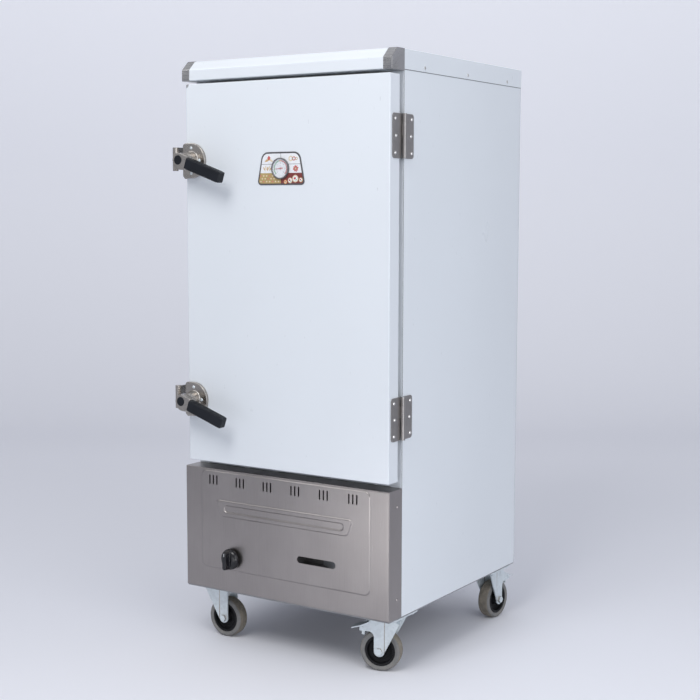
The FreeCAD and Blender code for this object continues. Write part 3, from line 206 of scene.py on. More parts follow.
def faceOut(bm, axis=None):
    # normals outwards; the lowest face along axis, if one is given, has to look down it
    bmesh.ops.recalc_face_normals(bm, faces=bm.faces)
    if axis is not None:
        lowest = min(bm.faces, key=lambda f: f.calc_center_median()[axis])
        if lowest.normal[axis] > 0:
            bmesh.ops.reverse_faces(bm, faces=bm.faces)


def bridge(bm, rows, closed=True, slots=None):
    # faces between rows of equal length; a row that repeats one vertex gives triangles
    for level, (one, two) in enumerate(zip(rows, rows[1:])):
        for i in range(len(one) if closed else len(one) - 1):
            j = (i + 1) % len(one)
            corners = list(dict.fromkeys((one[i], one[j], two[j], two[i])))
            if len(corners) > 2:
                bm.faces.new(corners).material_index = slots[level] if slots else 0


def addRow(bm, places):
    return [bm.verts.new(at(*place)) for place in places]


def prismBmesh(ends):
    # a closed prism between two outlines of places
    bm = bmesh.new()
    rows = [addRow(bm, end) for end in ends]
    for row in rows:
        bm.faces.new(row)
    bridge(bm, rows)
    faceOut(bm)
    return bm


def prism(name, outline, place, depth, material):
    # outline points are x and z about place; the prism runs back along +y by depth
    x, y, z = place
    ends = [[(x + u, level, z + w) for u, w in outline] for level in (y, y + depth)]
    return fromBmesh(name, prismBmesh(ends), material)


def lathe(name, profile, origin, steps, *materials, direction=(0, -1, 0)):
    # profile: radius, height along direction and, if not 0, material; closed on the axis at radius 0
    axis = Vector(direction).normalized()
    side = axis.orthogonal().normalized()
    other = axis.cross(side)
    bm = bmesh.new()
    rings = []
    for radius, height, *_ in profile:
        foot = at(*origin) + axis * (height / 1000)
        if radius == 0:
            rings.append([bm.verts.new(foot)] * steps)
            continue
        turns = [2 * pi * i / steps for i in range(steps)]
        rings.append([bm.verts.new(foot + (side * cos(t) + other * sin(t)) * (radius / 1000)) for t in turns])
    bridge(bm, rings, slots=[entry[2] if len(entry) > 2 else 0 for entry in profile])
    faceOut(bm)
    thing = fromBmesh(name, bm)
    for material in materials:
        thing.data.materials.append(mats[material])
    smooth(thing)
    return thing


def arcPoints(centre, radius, start, end, steps):
    turns = [radians(start + (end - start) * i / steps) for i in range(steps + 1)]
    return [(centre[0] + radius * cos(t), centre[1] + radius * sin(t)) for t in turns]


def roundedOutline(halfX, halfZ, corner, steps=6):
    # a rectangle with round corners, about its centre
    points = []
    for quarter, (sx, sz) in enumerate(((1, 1), (-1, 1), (-1, -1), (1, -1))):
        start = 90 * quarter
        points += arcPoints((sx * (halfX - corner), sz * (halfZ - corner)), corner, start, start + 90, steps)
    return points


def joined(name, things):
    # several objects made one, keeping each one's materials
    bm = bmesh.new()
    slots = []
    for thing in things:
        start = len(bm.faces)
        bm.from_mesh(thing.data)
        bm.faces.ensure_lookup_table()
        own = list(thing.data.materials)
        slots += [m for m in own if m not in slots]
        for face in bm.faces[start:] if own else ():
            face.material_index = slots.index(own[min(face.material_index, len(own) - 1)])
        data = thing.data
        bpy.data.objects.remove(thing)
        if data.users == 0:
            bpy.data.meshes.remove(data)
    whole = fromBmesh(name, bm)
    for m in slots:
        whole.data.materials.append(m)
    return whole


def stand(thing, piece):
    # thing rides where the node rides and is shown in its place
    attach(thing, nodes[piece]["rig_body"])
    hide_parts(piece)
    return thing


def assembled(name, things, piece, angle=34):
    whole = joined(name, things)
    smooth(whole, angle)
    return stand(whole, piece)


def rounded(piece, material, width, segments=3, angle=40):
    # a copy of a CAD piece with its sharp edges broken, which stands for it
    thing = fromBmesh(piece + "_finished", nodeBmesh(piece, True), material)
    bevel(thing, width, segments, angle)
    smooth(thing)
    evenShading(thing)
    return stand(thing, piece)


def islands(piece):
    # the loose solids of a node, as low and high corners in millimetres
    bm = nodeBmesh(piece)
    seen, found = set(), []
    for first in bm.verts:
        if first in seen:
            continue
        stack, members = [first], []
        seen.add(first)
        while stack:
            v = stack.pop()
            members.append(inMm(v.co))
            fresh = {edge.other_vert(v) for edge in v.link_edges} - seen
            seen |= fresh
            stack += fresh
        found.append([Vector(pick(m[i] for m in members) for i in range(3)) for pick in (min, max)])
    bm.free()
    return found


def tint(color, amount):
    return tuple(min(1, max(0, c * amount)) for c in color)


class Finish:
    # builds one procedural material on Object coordinates
    def __init__(self, name, color, roughness, metallic=0, extra=()):
        material = bpy.data.materials.new(name)
        material.use_nodes = True
        mats[name] = material
        self.color = color
        self.tree = material.node_tree
        self.add = partial(addNode, self.tree)
        self.coords = self.add("TexCoord").outputs["Object"]
        self.height = None
        self.put({"Base Color": (*color, 1), "Roughness": roughness, "Metallic": metallic, **dict(extra)})

    def put(self, inputs):
        setInputs(self.tree, self.tree.nodes["Principled BSDF"], inputs)

    def along(self, axis):
        return self.add("SeparateXYZ", {0: self.coords}).outputs[axis]

    def noise(self, scale, detail, rough=0.5, stretch=(1, 1, 1)):
        place = self.add("Mapping", {"Vector": self.coords, "Scale": stretch})
        values = {"Vector": place, "Scale": scale, "Detail": detail, "Roughness": rough}
        return self.add("TexNoise", values).outputs["Fac"]

    def spread(self, value, low=0, high=1, fromLow=0.25, fromHigh=0.75):
        ends = {"From Min": fromLow, "From Max": fromHigh, "To Min": low, "To Max": high}
        return self.add("MapRange", {"Value": value, **ends})

    def mix(self, factor, first, second):
        # a number stands for the finish's own colour, made that much lighter or darker
        ends = [tint(self.color, end) if isinstance(end, float) else end for end in (first, second)]
        mixed = colorMix(self.tree, factor, *ends)
        self.put({"Base Color": mixed})
        return mixed

    def roughen(self, value, low, high):
        self.put({"Roughness": self.spread(value, low, high)})

    def bump(self, value, distance, strength):
        under = {"Normal": self.height} if self.height else {}
        self.height = self.add("Bump", {"Height": value, "Distance": distance, "Strength": strength, **under})
        self.put({"Normal": self.height})


# Camera, lamps and stage

viewpoint = {"place": (1884, -2647, 1102), "azimuth": 33.14, "pitch": -6.11, "roll": 0.095, "lens": 69.7}

# lamps and cards: place, target, power, size and colour
studio = {
    "lamps": {
        "keyLamp": ((380, -2350, 3150), (0, 250, 750), 47, 1.5, (1, 0.995, 0.985)),
        "fillLamp": ((3000, -1350, 1900), (0, 250, 750), 37, 2.4, (0.94, 0.965, 1)),
        "topLamp": ((200, 300, 3900), (0, 250, 700), 16, 4.6, (0.97, 0.98, 1)),
    },
    "cards": [
        ((-20, -900, 130), (240, -56, 300), 1.3, 0.5),
        ((1360, -990, 190), (250, -56, 320), 3.4, 0.5),
        ((-1100, -700, 2200), (0, -56, 380), 4.6, 0.8),
    ],
    "skyColor": (0.90, 0.93, 1), "skyLevel": 0.56, "beyondColor": (0.66, 0.68, 0.75),
    "floorColor": (0.66, 0.675, 0.74), "wallColor": (0.60, 0.615, 0.68),
    "floorSeen": (0.815, 0.82, 0.865), "wallSeen": (0.94, 0.945, 0.985),
    "floorLift": (0.012, 0.012, 0.014), "farLift": (0.082, 0.082, 0.088), "wallLift": (0.205, 0.207, 0.221),
    "floorBack": 3200, "floorFront": -16000, "bend": 1500, "wallTop": 7000, "halfWidth": 60,
    "wallRamp": 2.6, "farRamp": (0.3, 2.4),
}


def makeCamera(place, azimuth, pitch, roll, lens):
    data = bpy.data.cameras.new("photoCamera")
    data.sensor_width, data.lens, data.clip_end = 36, lens, 50
    camera = newObject("photoCamera", data)
    a, e = radians(azimuth), radians(pitch)
    look = Vector((-sin(a) * cos(e), cos(a) * cos(e), sin(e)))
    turn = look.to_track_quat("-Z", "Y") @ Quaternion((0, 0, 1), radians(roll))
    camera.location = at(*place)
    camera.rotation_euler = turn.to_euler()
    bpy.context.scene.camera = camera


def softLamp(name, place, target, power, size, color=(1, 1, 1)):
    data = bpy.data.lights.new(name, "AREA")
    data.shape, data.size, data.energy, data.color = "SQUARE", size, power, color
    lamp = newObject(name, data)
    lamp.location = at(*place)
    lamp.rotation_euler = (at(*target) - at(*place)).to_track_quat("-Z", "Y").to_euler()
    lamp.visible_camera = False
    return lamp


def makeStudio(s):
    for name, lamp in s["lamps"].items():
        softLamp(name, *lamp)
    # white cards round the cabinet, which only its gloss shows
    for card in s["cards"]:
        softLamp("card", *card).visible_diffuse = False
    world = bpy.data.worlds.new("studioWorld")
    bpy.context.scene.world = world
    world.use_nodes = True
    tree = world.node_tree
    sky = tree.nodes["Background"]
    setInputs(tree, sky, {"Color": (*s["skyColor"], 1), "Strength": s["skyLevel"]})
    # beyond the paper the camera sees the same pale grey
    beyond = addNode(tree, "Background", {"Color": (*s["beyondColor"], 1)})
    seen = addNode(tree, "LightPath").outputs["Is Camera Ray"]
    chosen = addNode(tree, "MixShader", {0: seen, 1: sky, 2: beyond})
    setInputs(tree, tree.nodes["World Output"], {"Surface": chosen})
    bpy.context.scene.view_settings.view_transform = "Standard"


def makeStage(s):
    # a floor that rolls up into the wall behind the cabinet
    back, bend = s["floorBack"], s["bend"]
    profile = [(s["floorFront"], 0), (back, 0), *arcPoints((back, bend), bend, -90, 0, 16)[1:]]
    profile.append((back + bend, s["wallTop"]))
    turn = Matrix.Rotation(radians(viewpoint["azimuth"]), 3, "Z")
    bm = bmesh.new()
    sides = (-s["halfWidth"], s["halfWidth"])
    rows = [[bm.verts.new(at(0, 0, 0) + turn @ Vector((x, y / 1000, z / 1000))) for x in sides] for y, z in profile]
    bridge(bm, rows, closed=False)
    floor = fromBmesh("studioFloor", bm)
    floor.data.shade_smooth()
    paper = Finish("studioPaper", s["floorColor"], 0.7)
    tree, add = paper.tree, paper.add
    up = paper.spread(paper.along("Z"), 0, 1, 0, s["wallRamp"])
    ahead = add("VectorMath", {0: paper.coords, 1: turn @ Vector((0, 1, 0))}, operation="DOT_PRODUCT")
    away = paper.spread(ahead.outputs["Value"], 0, 1, *s["farRamp"])
    # the paper throws a plain light on the cabinet, and is seen paler than that
    paper.mix(up, s["floorColor"], s["wallColor"])
    seen = add("BsdfDiffuse", {"Color": colorMix(tree, up, s["floorSeen"], s["wallSeen"])})
    farther = colorMix(tree, away, s["floorLift"], s["farLift"])
    glow = add("Emission", {"Color": colorMix(tree, up, farther, s["wallLift"])})
    both = add("AddShader", {0: seen, 1: glow})
    ray = add("LightPath").outputs
    looked = ray["Is Camera Ray"]
    for other in ("Is Glossy Ray", "Is Transmission Ray"):
        looked = add("Math", {0: looked, 1: ray[other]}, operation="MAXIMUM")
    chosen = add("MixShader", {0: looked, 1: tree.nodes["Principled BSDF"], 2: both})
    setInputs(tree, tree.nodes["Material Output"], {"Surface": chosen})
    floor.data.materials.append(mats["studioPaper"])


makeCamera(**viewpoint)
makeStudio(studio)
makeStage(studio)
print("camera, lamps and stage set")


# Materials

def coatedSheet(name, color, marks=0.35, seamShadow=None, chip=None):
    # coated steel sheet: slightly uneven gloss, faint waves, a few small handling marks and, where given, a painted
    # shadow line under a lapped edge
    f = Finish(name, color, 0.34, 0, {"Coat Weight": 0.25, "Coat Roughness": 0.18, "Specular IOR Level": 0.45})
    cloud = f.noise(2.2, 2, stretch=(1, 1, 0.6))
    look = f.mix(f.spread(cloud), 0.975, 1.02)
    fleck = f.noise(190, 2, 0.6, (1, 1, 0.22))
    look = f.mix(f.spread(fleck, 0, marks, 0.735, 0.80), look, 0.45)
    if seamShadow:
        # painted shadow: a dark line on the sheet just under the lapped edge of the cover above
        low, high = (value / 1000 for value in seamShadow)
        band = {0: f.along("Z"), 1: (low + high) / 2, 2: (high - low) / 2}
        look = f.mix(f.add("Math", band, operation="COMPARE"), look, 0.22)
    if chip:
        # bare metal where a corner has been knocked
        away = f.add("VectorMath", {0: f.coords, 1: at(*chip)}, operation="DISTANCE").outputs["Value"]
        f.mix(f.spread(away, 1, 0, 0.0075, 0.0105), look, (0.27, 0.27, 0.28))
    f.roughen(f.noise(9, 4, stretch=(1, 1, 0.5)), 0.27, 0.42)
    f.bump(f.noise(3, 1, stretch=(1, 1, 0.7)), 0.004, 0.18)
    f.bump(f.noise(420, 2), 0.00006, 0.35)


def brushedSteel(name, color, along, roughness, cloudy=0.08):
    # rolled stainless sheet: fine streaks along one axis, cloudy patches and light waves
    f = Finish(name, color, roughness, 1)
    streak = f.noise(900, 3, 0.6, tuple(0.02 if axis == along else 1 for axis in "XYZ"))
    base = f.mix(f.spread(streak), 0.93, 1.06)
    cloud = f.noise(7, 3, 0.55, (1, 1, 0.7))
    f.mix(f.spread(cloud, 0, cloudy * 4, 0.45, 0.75), base, 1.25)
    f.roughen(streak, roughness - 0.06, roughness + 0.10)
    f.bump(streak, 0.00004, 0.5)
    f.bump(f.noise(5, 1, stretch=(1, 1, 0.8)), 0.004, 0.10)


def platedMetal(name, color, roughness, grain):
    # plated castings and pressings: soft blotches, tiny pits
    f = Finish(name, color, roughness, 1)
    f.mix(f.spread(f.noise(grain, 4, 0.6)), 0.90, 1.08)
    f.roughen(f.noise(grain * 2.5, 3), roughness - 0.05, roughness + 0.08)
    f.bump(f.noise(grain * 9, 3), 0.00005, 0.3)


def zincPlate(name, color):
    # bright zinc: crystal patches of slightly different shade, and darker dull patches laid at random
    f = Finish(name, color, 0.36, 0.4)
    cells = f.add("TexVoronoi", {"Vector": f.coords, "Scale": 160}).outputs["Color"]
    base = f.mix(f.add("SeparateColor", {"Color": cells}), 0.94, 1.04)
    f.mix(f.spread(f.noise(38, 4), 0, 0.35, 0.55, 0.8), base, 0.55)
    f.roughen(f.noise(90, 3), 0.28, 0.48)
    f.bump(f.noise(500, 2), 0.00006, 0.4)


def mouldedPlastic(name, color, roughness, grain, worn, specular=0.45):
    f = Finish(name, color, roughness, 0, {"Specular IOR Level": specular})
    f.mix(f.spread(f.noise(25, 4)), 0.85, worn)
    f.roughen(f.noise(70, 3), roughness - 0.07, roughness + 0.10)
    f.bump(f.noise(grain, 2), 0.00008, 0.4)


def dustyRubber(name, color, dust, amount):
    # rubber that has rolled on a floor: dull, with pale brown dust in clouds
    f = Finish(name, color, 0.75)
    base = f.mix(f.spread(f.noise(30, 5)), 0.85, 1.12)
    f.mix(f.spread(f.noise(55, 5, 0.65), 0, amount, 0.42, 0.70), base, dust)
    f.roughen(f.noise(120, 3), 0.62, 0.88)
    f.bump(f.noise(650, 3), 0.00015, 0.5)


def roughIron(name, color, rust):
    f = Finish(name, color, 0.7, 0.6)
    f.mix(f.spread(f.noise(40, 5)), color, rust)
    f.roughen(f.noise(90, 3), 0.55, 0.9)
    f.bump(f.noise(420, 4), 0.0005, 0.6)


def woolFibre(name, color):
    f = Finish(name, color, 0.95)
    f.mix(f.spread(f.noise(160, 5, stretch=(1, 1, 0.25))), 0.7, 1.15)
    f.bump(f.noise(240, 5, stretch=(1, 1, 0.25)), 0.0015, 0.8)


def printedColor(name, color, roughness=0.38):
    # ink under a clear film
    f = Finish(name, color, roughness, 0, {"Coat Weight": 0.3})
    f.mix(f.spread(f.noise(120, 3)), 0.93, 1.05)
    f.bump(f.noise(600, 2), 0.00003, 0.3)


def clearGlass(name, color):
    # a thin clear pane: mostly see-through, with its gloss kept
    f = Finish(name, color, 0.04, 0, {"Alpha": 0.14, "IOR": 1.45})
    f.bump(f.noise(30, 1), 0.0002, 0.05)


finishes = {
    coatedSheet: {
        "doorSheet": ((0.775, 0.81, 0.845), 0.35, None, (-284, -60, 1393)),
        # the body sheet's painted shadow line runs from 1403.2 to 1405 mm, just under the top cover's skirt
        "bodySheet": ((0.775, 0.812, 0.845), 0.35, (1403.2, 1405)),
        # a near-black coat that paints the shade of the unlit inside of the body
        "backCoat": ((0.11, 0.11, 0.115), 0.1),
    },
    brushedSteel: {
        "capSteel": ((0.40, 0.395, 0.395), "X", 0.26),
        "panelSteel": ((0.31, 0.288, 0.282), "Z", 0.33, 0.12),
        "chamberSteel": ((0.66, 0.66, 0.66), "Z", 0.24),
        "trayInside": ((0.64, 0.64, 0.65), "X", 0.22),
    },
    platedMetal: {
        "nickel": ((0.40, 0.375, 0.35), 0.28, 70),
        "hingeNickel": ((0.325, 0.31, 0.30), 0.32, 55),
        "screwSteel": ((0.68, 0.67, 0.65), 0.22, 160),
        "brass": ((0.70, 0.52, 0.25), 0.30, 80),
    },
    zincPlate: {"zinc": ((0.685, 0.74, 0.765),)},
    mouldedPlastic: {
        "framePaint": ((0.30, 0.305, 0.32), 0.5, 300, 1.1),
        "guardSteel": ((0.16, 0.155, 0.155), 0.5, 300, 1.1),
        "silicone": ((0.42, 0.43, 0.45), 0.55, 500, 1.1),
        "gripPlastic": ((0.008, 0.0095, 0.013), 0.38, 700, 1.6, 0.22),
        "knobPlastic": ((0.006, 0.006, 0.008), 0.16, 300, 1.6),
        "corePlastic": ((0.006, 0.006, 0.007), 0.46, 500, 1.6, 0.2),
    },
    dustyRubber: {
        "tyreRubber": ((0.185, 0.183, 0.18), (0.38, 0.34, 0.29), 0.3),
        "treadRubber": ((0.215, 0.190, 0.155), (0.42, 0.37, 0.29), 0.5),
    },
    roughIron: {"iron": ((0.07, 0.068, 0.066), (0.20, 0.11, 0.07))},
    woolFibre: {"wool": ((0.62, 0.58, 0.44),)},
    printedColor: {
        "inkDark": ((0.085, 0.08, 0.085),), "inkGrey": ((0.36, 0.37, 0.38),), "inkWhite": ((0.84, 0.85, 0.87),),
        "inkGold": ((0.46, 0.33, 0.13),), "inkWine": ((0.20, 0.035, 0.03),), "inkRed": ((0.55, 0.045, 0.04),),
        "inkRose": ((0.62, 0.20, 0.17),), "inkCream": ((0.74, 0.62, 0.44),), "inkTan": ((0.60, 0.40, 0.20),),
        "inkOrange": ((0.80, 0.33, 0.10),), "inkGreen": ((0.14, 0.42, 0.20),),
        "bezelPaint": ((0.11, 0.105, 0.11), 0.32),
    },
    clearGlass: {"glass": ((0.93, 0.96, 1),)},
}
for makeFinish, entries in finishes.items():
    for name, values in entries.items():
        makeFinish(name, *values)
print("materials made:", len(mats))


# Geometry Nodes

def newTree(name, **inputs):
    # a group with named inputs; also its input sockets and what adds a node to it
    tree = bpy.data.node_groups.new(name, "GeometryNodeTree")
    for label, value in {"Geometry": "Geometry", **inputs, "Material": "Material"}.items():
        kind = value if isinstance(value, str) else {float: "Float", int: "Int", tuple: "Vector"}[type(value)]
        socket = tree.interface.new_socket(label, in_out="INPUT", socket_type="NodeSocket" + kind)
        if kind != value:
            socket.default_value = value
    tree.interface.new_socket("Geometry", in_out="OUTPUT", socket_type="NodeSocketGeometry")
    return tree, tree.nodes.new("NodeGroupInput").outputs, partial(addNode, tree)


def finishTree(tree, given, geometry):
    # every tree ends the same way: real meshes with the material that the user names
    real = addNode(tree, "RealizeInstances", {"Geometry": geometry})
    painted = addNode(tree, "SetMaterial", {"Geometry": real, "Material": given["Material"]})
    setInputs(tree, tree.nodes.new("NodeGroupOutput"), {"Geometry": painted})
    return tree


def scatter(tree, given, geometry):
    # one copy on each point, turned by the point's own "turn"
    turn = addNode(tree, "InputNamedAttribute", {"Name": "turn"}, data_type="FLOAT_VECTOR")
    links = {"Points": given["Geometry"], "Instance": geometry, "Rotation": turn}
    return finishTree(tree, given, addNode(tree, "InstanceOnPoints", links))


def panHeadTree():
    # pan-head screws: a low cone with a cross recess cut in its top
    tree, given, add = newTree("panHeads", Radius=0.0035, Height=0.0016, Width=0.0009, Depth=0.0009)

    def times(label, factor):
        return add("Math", {0: given[label], 1: factor}, operation="MULTIPLY")

    ends = {"Radius Top": times("Radius", 0.62), "Radius Bottom": given["Radius"], "Depth": given["Height"]}
    cone = add("MeshCone", {"Vertices": 28, **ends}, fill_type="NGON")
    arm, depth = times("Radius", 1.05), times("Depth", 2)
    lift = add("CombineXYZ", {"Z": given["Height"]})
    blades = []
    for quarter in (0, 1):
        size = add("CombineXYZ", {quarter: arm, 1 - quarter: given["Width"], 2: depth})
        blade = add("MeshCube", {"Size": size})
        blades.append(add("Transform", {"Geometry": blade, "Translation": lift}))
    cross = add("JoinGeometry", {0: blades})
    return scatter(tree, given, add("MeshBoolean", {"Mesh 1": cone, "Mesh 2": cross}, operation="DIFFERENCE"))


def rivetTree():
    # low domed rivet heads
    tree, given, add = newTree("rivetHeads", Radius=0.003, Height=0.0012)
    ball = add("MeshUVSphere", {"Segments": 24, "Rings": 12, "Radius": 1})
    size = add("CombineXYZ", {0: given["Radius"], 1: given["Radius"], 2: given["Height"]})
    dome = add("Transform", {"Geometry": ball, "Scale": size})
    return scatter(tree, given, add("SetShadeSmooth", {0: dome}))


def slotTree():
    # round-ended prisms along y, one on each point
    tree, given, add = newTree("roundSlots", Width=0.004, Height=0.024, Depth=0.012)
    outline = add("CurvePrimitiveQuadrilateral", {"Width": given["Width"], "Height": given["Height"]})
    narrow = add("Math", {0: given["Width"], 1: given["Height"]}, operation="MINIMUM")
    half = add("Math", {0: narrow, 1: 0.497}, operation="MULTIPLY")
    ends = add("FilletCurve", {"Count": 6, "Curve": outline, "Radius": half}, mode="POLY")
    fill = add("FillCurve", {0: ends}, mode="NGONS")
    push = add("ExtrudeMesh", {"Individual": False, "Mesh": fill, "Offset Scale": given["Depth"]})
    both = add("JoinGeometry", {0: [push, add("FlipFaces", {0: fill})]})
    return scatter(tree, given, add("MergeByDistance", {0: both, "Distance": 0.00001}))


def barTree():
    # small bars, one on each point: ribs and ticks
    tree, given, add = newTree("smallBars", Size=(0.001, 0.001, 0.001))
    return scatter(tree, given, add("MeshCube", {"Size": given["Size"]}))


def stackTree():
    # one object repeated up a ladder of equal steps
    tree, given, add = newTree("stack", Part="Object", Count=8, Step=0.105)
    part = add("ObjectInfo", {"Object": given["Part"]}).outputs["Geometry"]
    rise = add("CombineXYZ", {"Z": given["Step"]})
    line = add("MeshLine", {"Count": given["Count"], "Offset": rise})
    return finishTree(tree, given, add("InstanceOnPoints", {"Points": line, "Instance": part}))


trees = {"panHeads": panHeadTree(), "rivets": rivetTree(), "slots": slotTree(), "bars": barTree(), "stack": stackTree()}
print("node trees made:", len(trees))


def runTree(name, kind, material, points, turns=None, **values):
    # points in millimetres; turns are Euler angles stored on the points
    mesh = bpy.data.meshes.new(name)
    mesh.from_pydata([at(*p) for p in points], [], [])
    thing = newObject(name, mesh)
    if turns:
        attribute = mesh.attributes.new("turn", "FLOAT_VECTOR", "POINT")
        for i, turn in enumerate(turns):
            attribute.data[i].vector = turn
    modifier = modify(thing, "NODES", node_group=trees[kind])
    values["Material"] = mats[material]
    for item in trees[kind].interface.items_tree:
        if item.in_out == "INPUT" and item.name in values:
            modifier[item.identifier] = values[item.name]
    return bakeModifiers(thing)


def facing(direction, roll=0):
    # Euler angles that turn +z to direction, after a roll about it
    turn = Vector(direction).to_track_quat("Z", "Y") @ Quaternion((0, 0, 1), roll)
    return Vector(turn.to_euler())


# Sheet metal

def openShell(name, bm, openFaces, material, radius=2, thickness=1, segments=4):
    # a closed block whose open faces come off, with round folds and a wall of one sheet
    faceOut(bm)
    gone = [f for f in bm.faces if any(f.normal.dot(Vector(n)) > 0.99 for n in openFaces)]
    bmesh.ops.delete(bm, geom=gone, context="FACES")
    folds = [e for e in bm.edges if not e.is_boundary]
    bmesh.ops.bevel(bm, geom=folds, offset=radius / 1000, segments=segments, profile=0.5, affect="EDGES")
    return evenShading(walled(fromBmesh(name, bm, material), thickness))


def blockShell(name, low, high, openFaces, material, radius=2, thickness=1):
    bm = bmesh.new()
    a, b = at(*low), at(*high)
    for v in bmesh.ops.create_cube(bm, size=1)["verts"]:
        v.co = Vector(a[i] + (v.co[i] + 0.5) * (b[i] - a[i]) for i in range(3))
    return openShell(name, bm, openFaces, material, radius, thickness)


def foldedStrip(name, path, low, high, radius, thickness):
    # a sheet folded along z: path gives its outside corners in x and y
    path = [Vector(place) for place in path]
    points = path[:1]
    for before, corner, after in zip(path, path[1:], path[2:]):
        start = corner + (before - corner).normalized() * radius
        end = corner + (after - corner).normalized() * radius
        for t in (i / 6 for i in range(7)):
            points.append(start * (1 - t) ** 2 + corner * 2 * t * (1 - t) + end * t * t)
    points += path[-1:]
    bm = bmesh.new()
    bridge(bm, [addRow(bm, ((p.x, p.y, z) for p in points)) for z in (low, high)], closed=False)
    return walled(fromBmesh(name, bm, "bodySheet"), thickness)


casing = {"doorFold": 2.2, "fold": 2.4, "sheet": 1, "frontReturn": 30, "rearReturn": 20}
stand(blockShell("doorPan", *nodeBox("door_skin"), [(0, 1, 0)], "doorSheet", casing["doorFold"]), "door_skin")

sideWalls = []
for side, piece in ((-1, "side_panel_left"), (1, "side_panel_right")):
    low, high = nodeBox(piece)
    outer = low.x if side < 0 else high.x
    route = [
        (outer - side * casing["rearReturn"], high.y), (outer, high.y),
        (outer, low.y), (outer - side * casing["frontReturn"], low.y),
    ]
    wall = foldedStrip(piece + "_folded", route[::-side], low.z, high.z, casing["fold"], casing["sheet"])
    sideWalls.append(stand(wall, piece))

stand(blockShell("topCover", *nodeBox("top_cover"), [(0, 0, -1), (0, -1, 0)], "bodySheet"), "top_cover")

hood = {"reach": 54, "bottom": 1402, "faceTop": 1428, "top": 1450, "slopeBack": 31}
hoodCap = {"half": 300, "wide": 22, "sheet": 0.8, "fold": 0.9}


def hoodBlock(x0, x1, grow, reach, bottom, faceTop, top, slopeBack):
    # the canopy's block from x0 to x1, its outline drawn out by grow
    rise, run = top - faceTop, reach - slopeBack
    slope = hypot(rise, run)
    section = [
        (0, bottom - grow), (-reach - grow, bottom - grow), (-reach - grow, faceTop + grow * (slope - rise) / run),
        (-slopeBack - grow * (slope - run) / rise, top + grow), (0, top + grow),
    ]
    return prismBmesh([[(x, y, z) for y, z in section] for x in (x0, x1)])


half = hoodCap["half"]
hoodBm = hoodBlock(-half, half, 0, **hood)
stand(openShell("canopySheet", hoodBm, [(0, 1, 0), (1, 0, 0), (-1, 0, 0)], "doorSheet"), "canopy")
caps = []
for side in (-1, 1):
    bm = hoodBlock(side * (half - hoodCap["wide"]), side * (half + hoodCap["sheet"]), hoodCap["sheet"], **hood)
    caps.append(openShell("cap", bm, [(0, 1, 0), (-side, 0, 0)], "capSteel", hoodCap["fold"], hoodCap["sheet"], 3))
assembled("canopyCaps", caps, "canopy_caps")
print("casing made")


# Burner panel: one pressed sheet

panel = {
    "half": 300, "bottom": 145, "top": 450, "face": -56, "fold": 2.4, "bottomReturn": 22, "sheet": 1,
    "coarse": (9, 7), "fine": 1.35,
    "fineX": [(-256, -230), (-208, -164), (164, 208), (230, 256)], "fineZ": [(196, 220), (330, 378)], "fineTop": 426,
}
relief = {
    "field": (250, 199, 446, 16, 2),
    "brow": (189, 203, 333, 375, 10, 2.6),
    "groove": (178, 354, 10, 2.6),
    "ease": 2.7,
}
opening = {
    "first": -211, "pitch": 82.6, "groups": 6, "height": 423, "slotPitch": 11, "perGroup": 3,
    "slot": (0.004, 0.024), "sightPlace": (98.5, 258), "sight": (0.111, 0.017),
    "knobPlace": (-153, 231), "knob": (0.015, 0.015), "start": 12, "deep": 0.030,
}


def step(distance, ease):
    # 1 well inside an outline, 0 at and outside it, with a soft slope between
    t = min(1, max(0, distance / ease))
    return t * t * (3 - 2 * t)


def insideRound(x, z, halfX, z0, z1, corner):
    # depth inside a rectangle with round corners
    halfZ, offZ = (z1 - z0) / 2, abs(z - (z0 + z1) / 2)
    cx, cz = abs(x) - (halfX - corner), offZ - (halfZ - corner)
    if cx > 0 and cz > 0:
        return corner - hypot(cx, cz)
    return min(halfX - abs(x), halfZ - offZ)


def pressedDepth(x, z, field, brow, groove, ease):
    half, z0, z1, corner, rise = field
    out = rise * step(insideRound(x, z, half, z0, z1, corner), ease)
    low, high, z0, z1, corner, rise = brow
    t = min(1, max(0, (z - z0) / (z1 - z0)))
    out += rise * step(insideRound(x, z, low + (high - low) * t, z0, z1, corner), ease)
    length, middle, radius, depth = groove
    along = max(abs(x) - (length - radius), 0)
    return out - depth * step(radius - hypot(along, z - middle), ease)


def gridLines(low, high, coarse, fine, zones):
    # lines closer together inside the zones, with one at each end of a zone
    lines = [low]
    while lines[-1] < high - 1e-6:
        here = lines[-1]
        ahead = here + (fine if any(a - 1e-6 <= here < b - 1e-6 for a, b in zones) else coarse)
        lines.append(min([ahead, high] + [end for zone in zones for end in zone if here + 1e-6 < end < ahead]))
    return lines


def border(rows):
    # the outer places of a grid, in order round it
    return rows[0] + [row[-1] for row in rows[1:]] + rows[-1][-2::-1] + [row[0] for row in rows[-2:0:-1]]


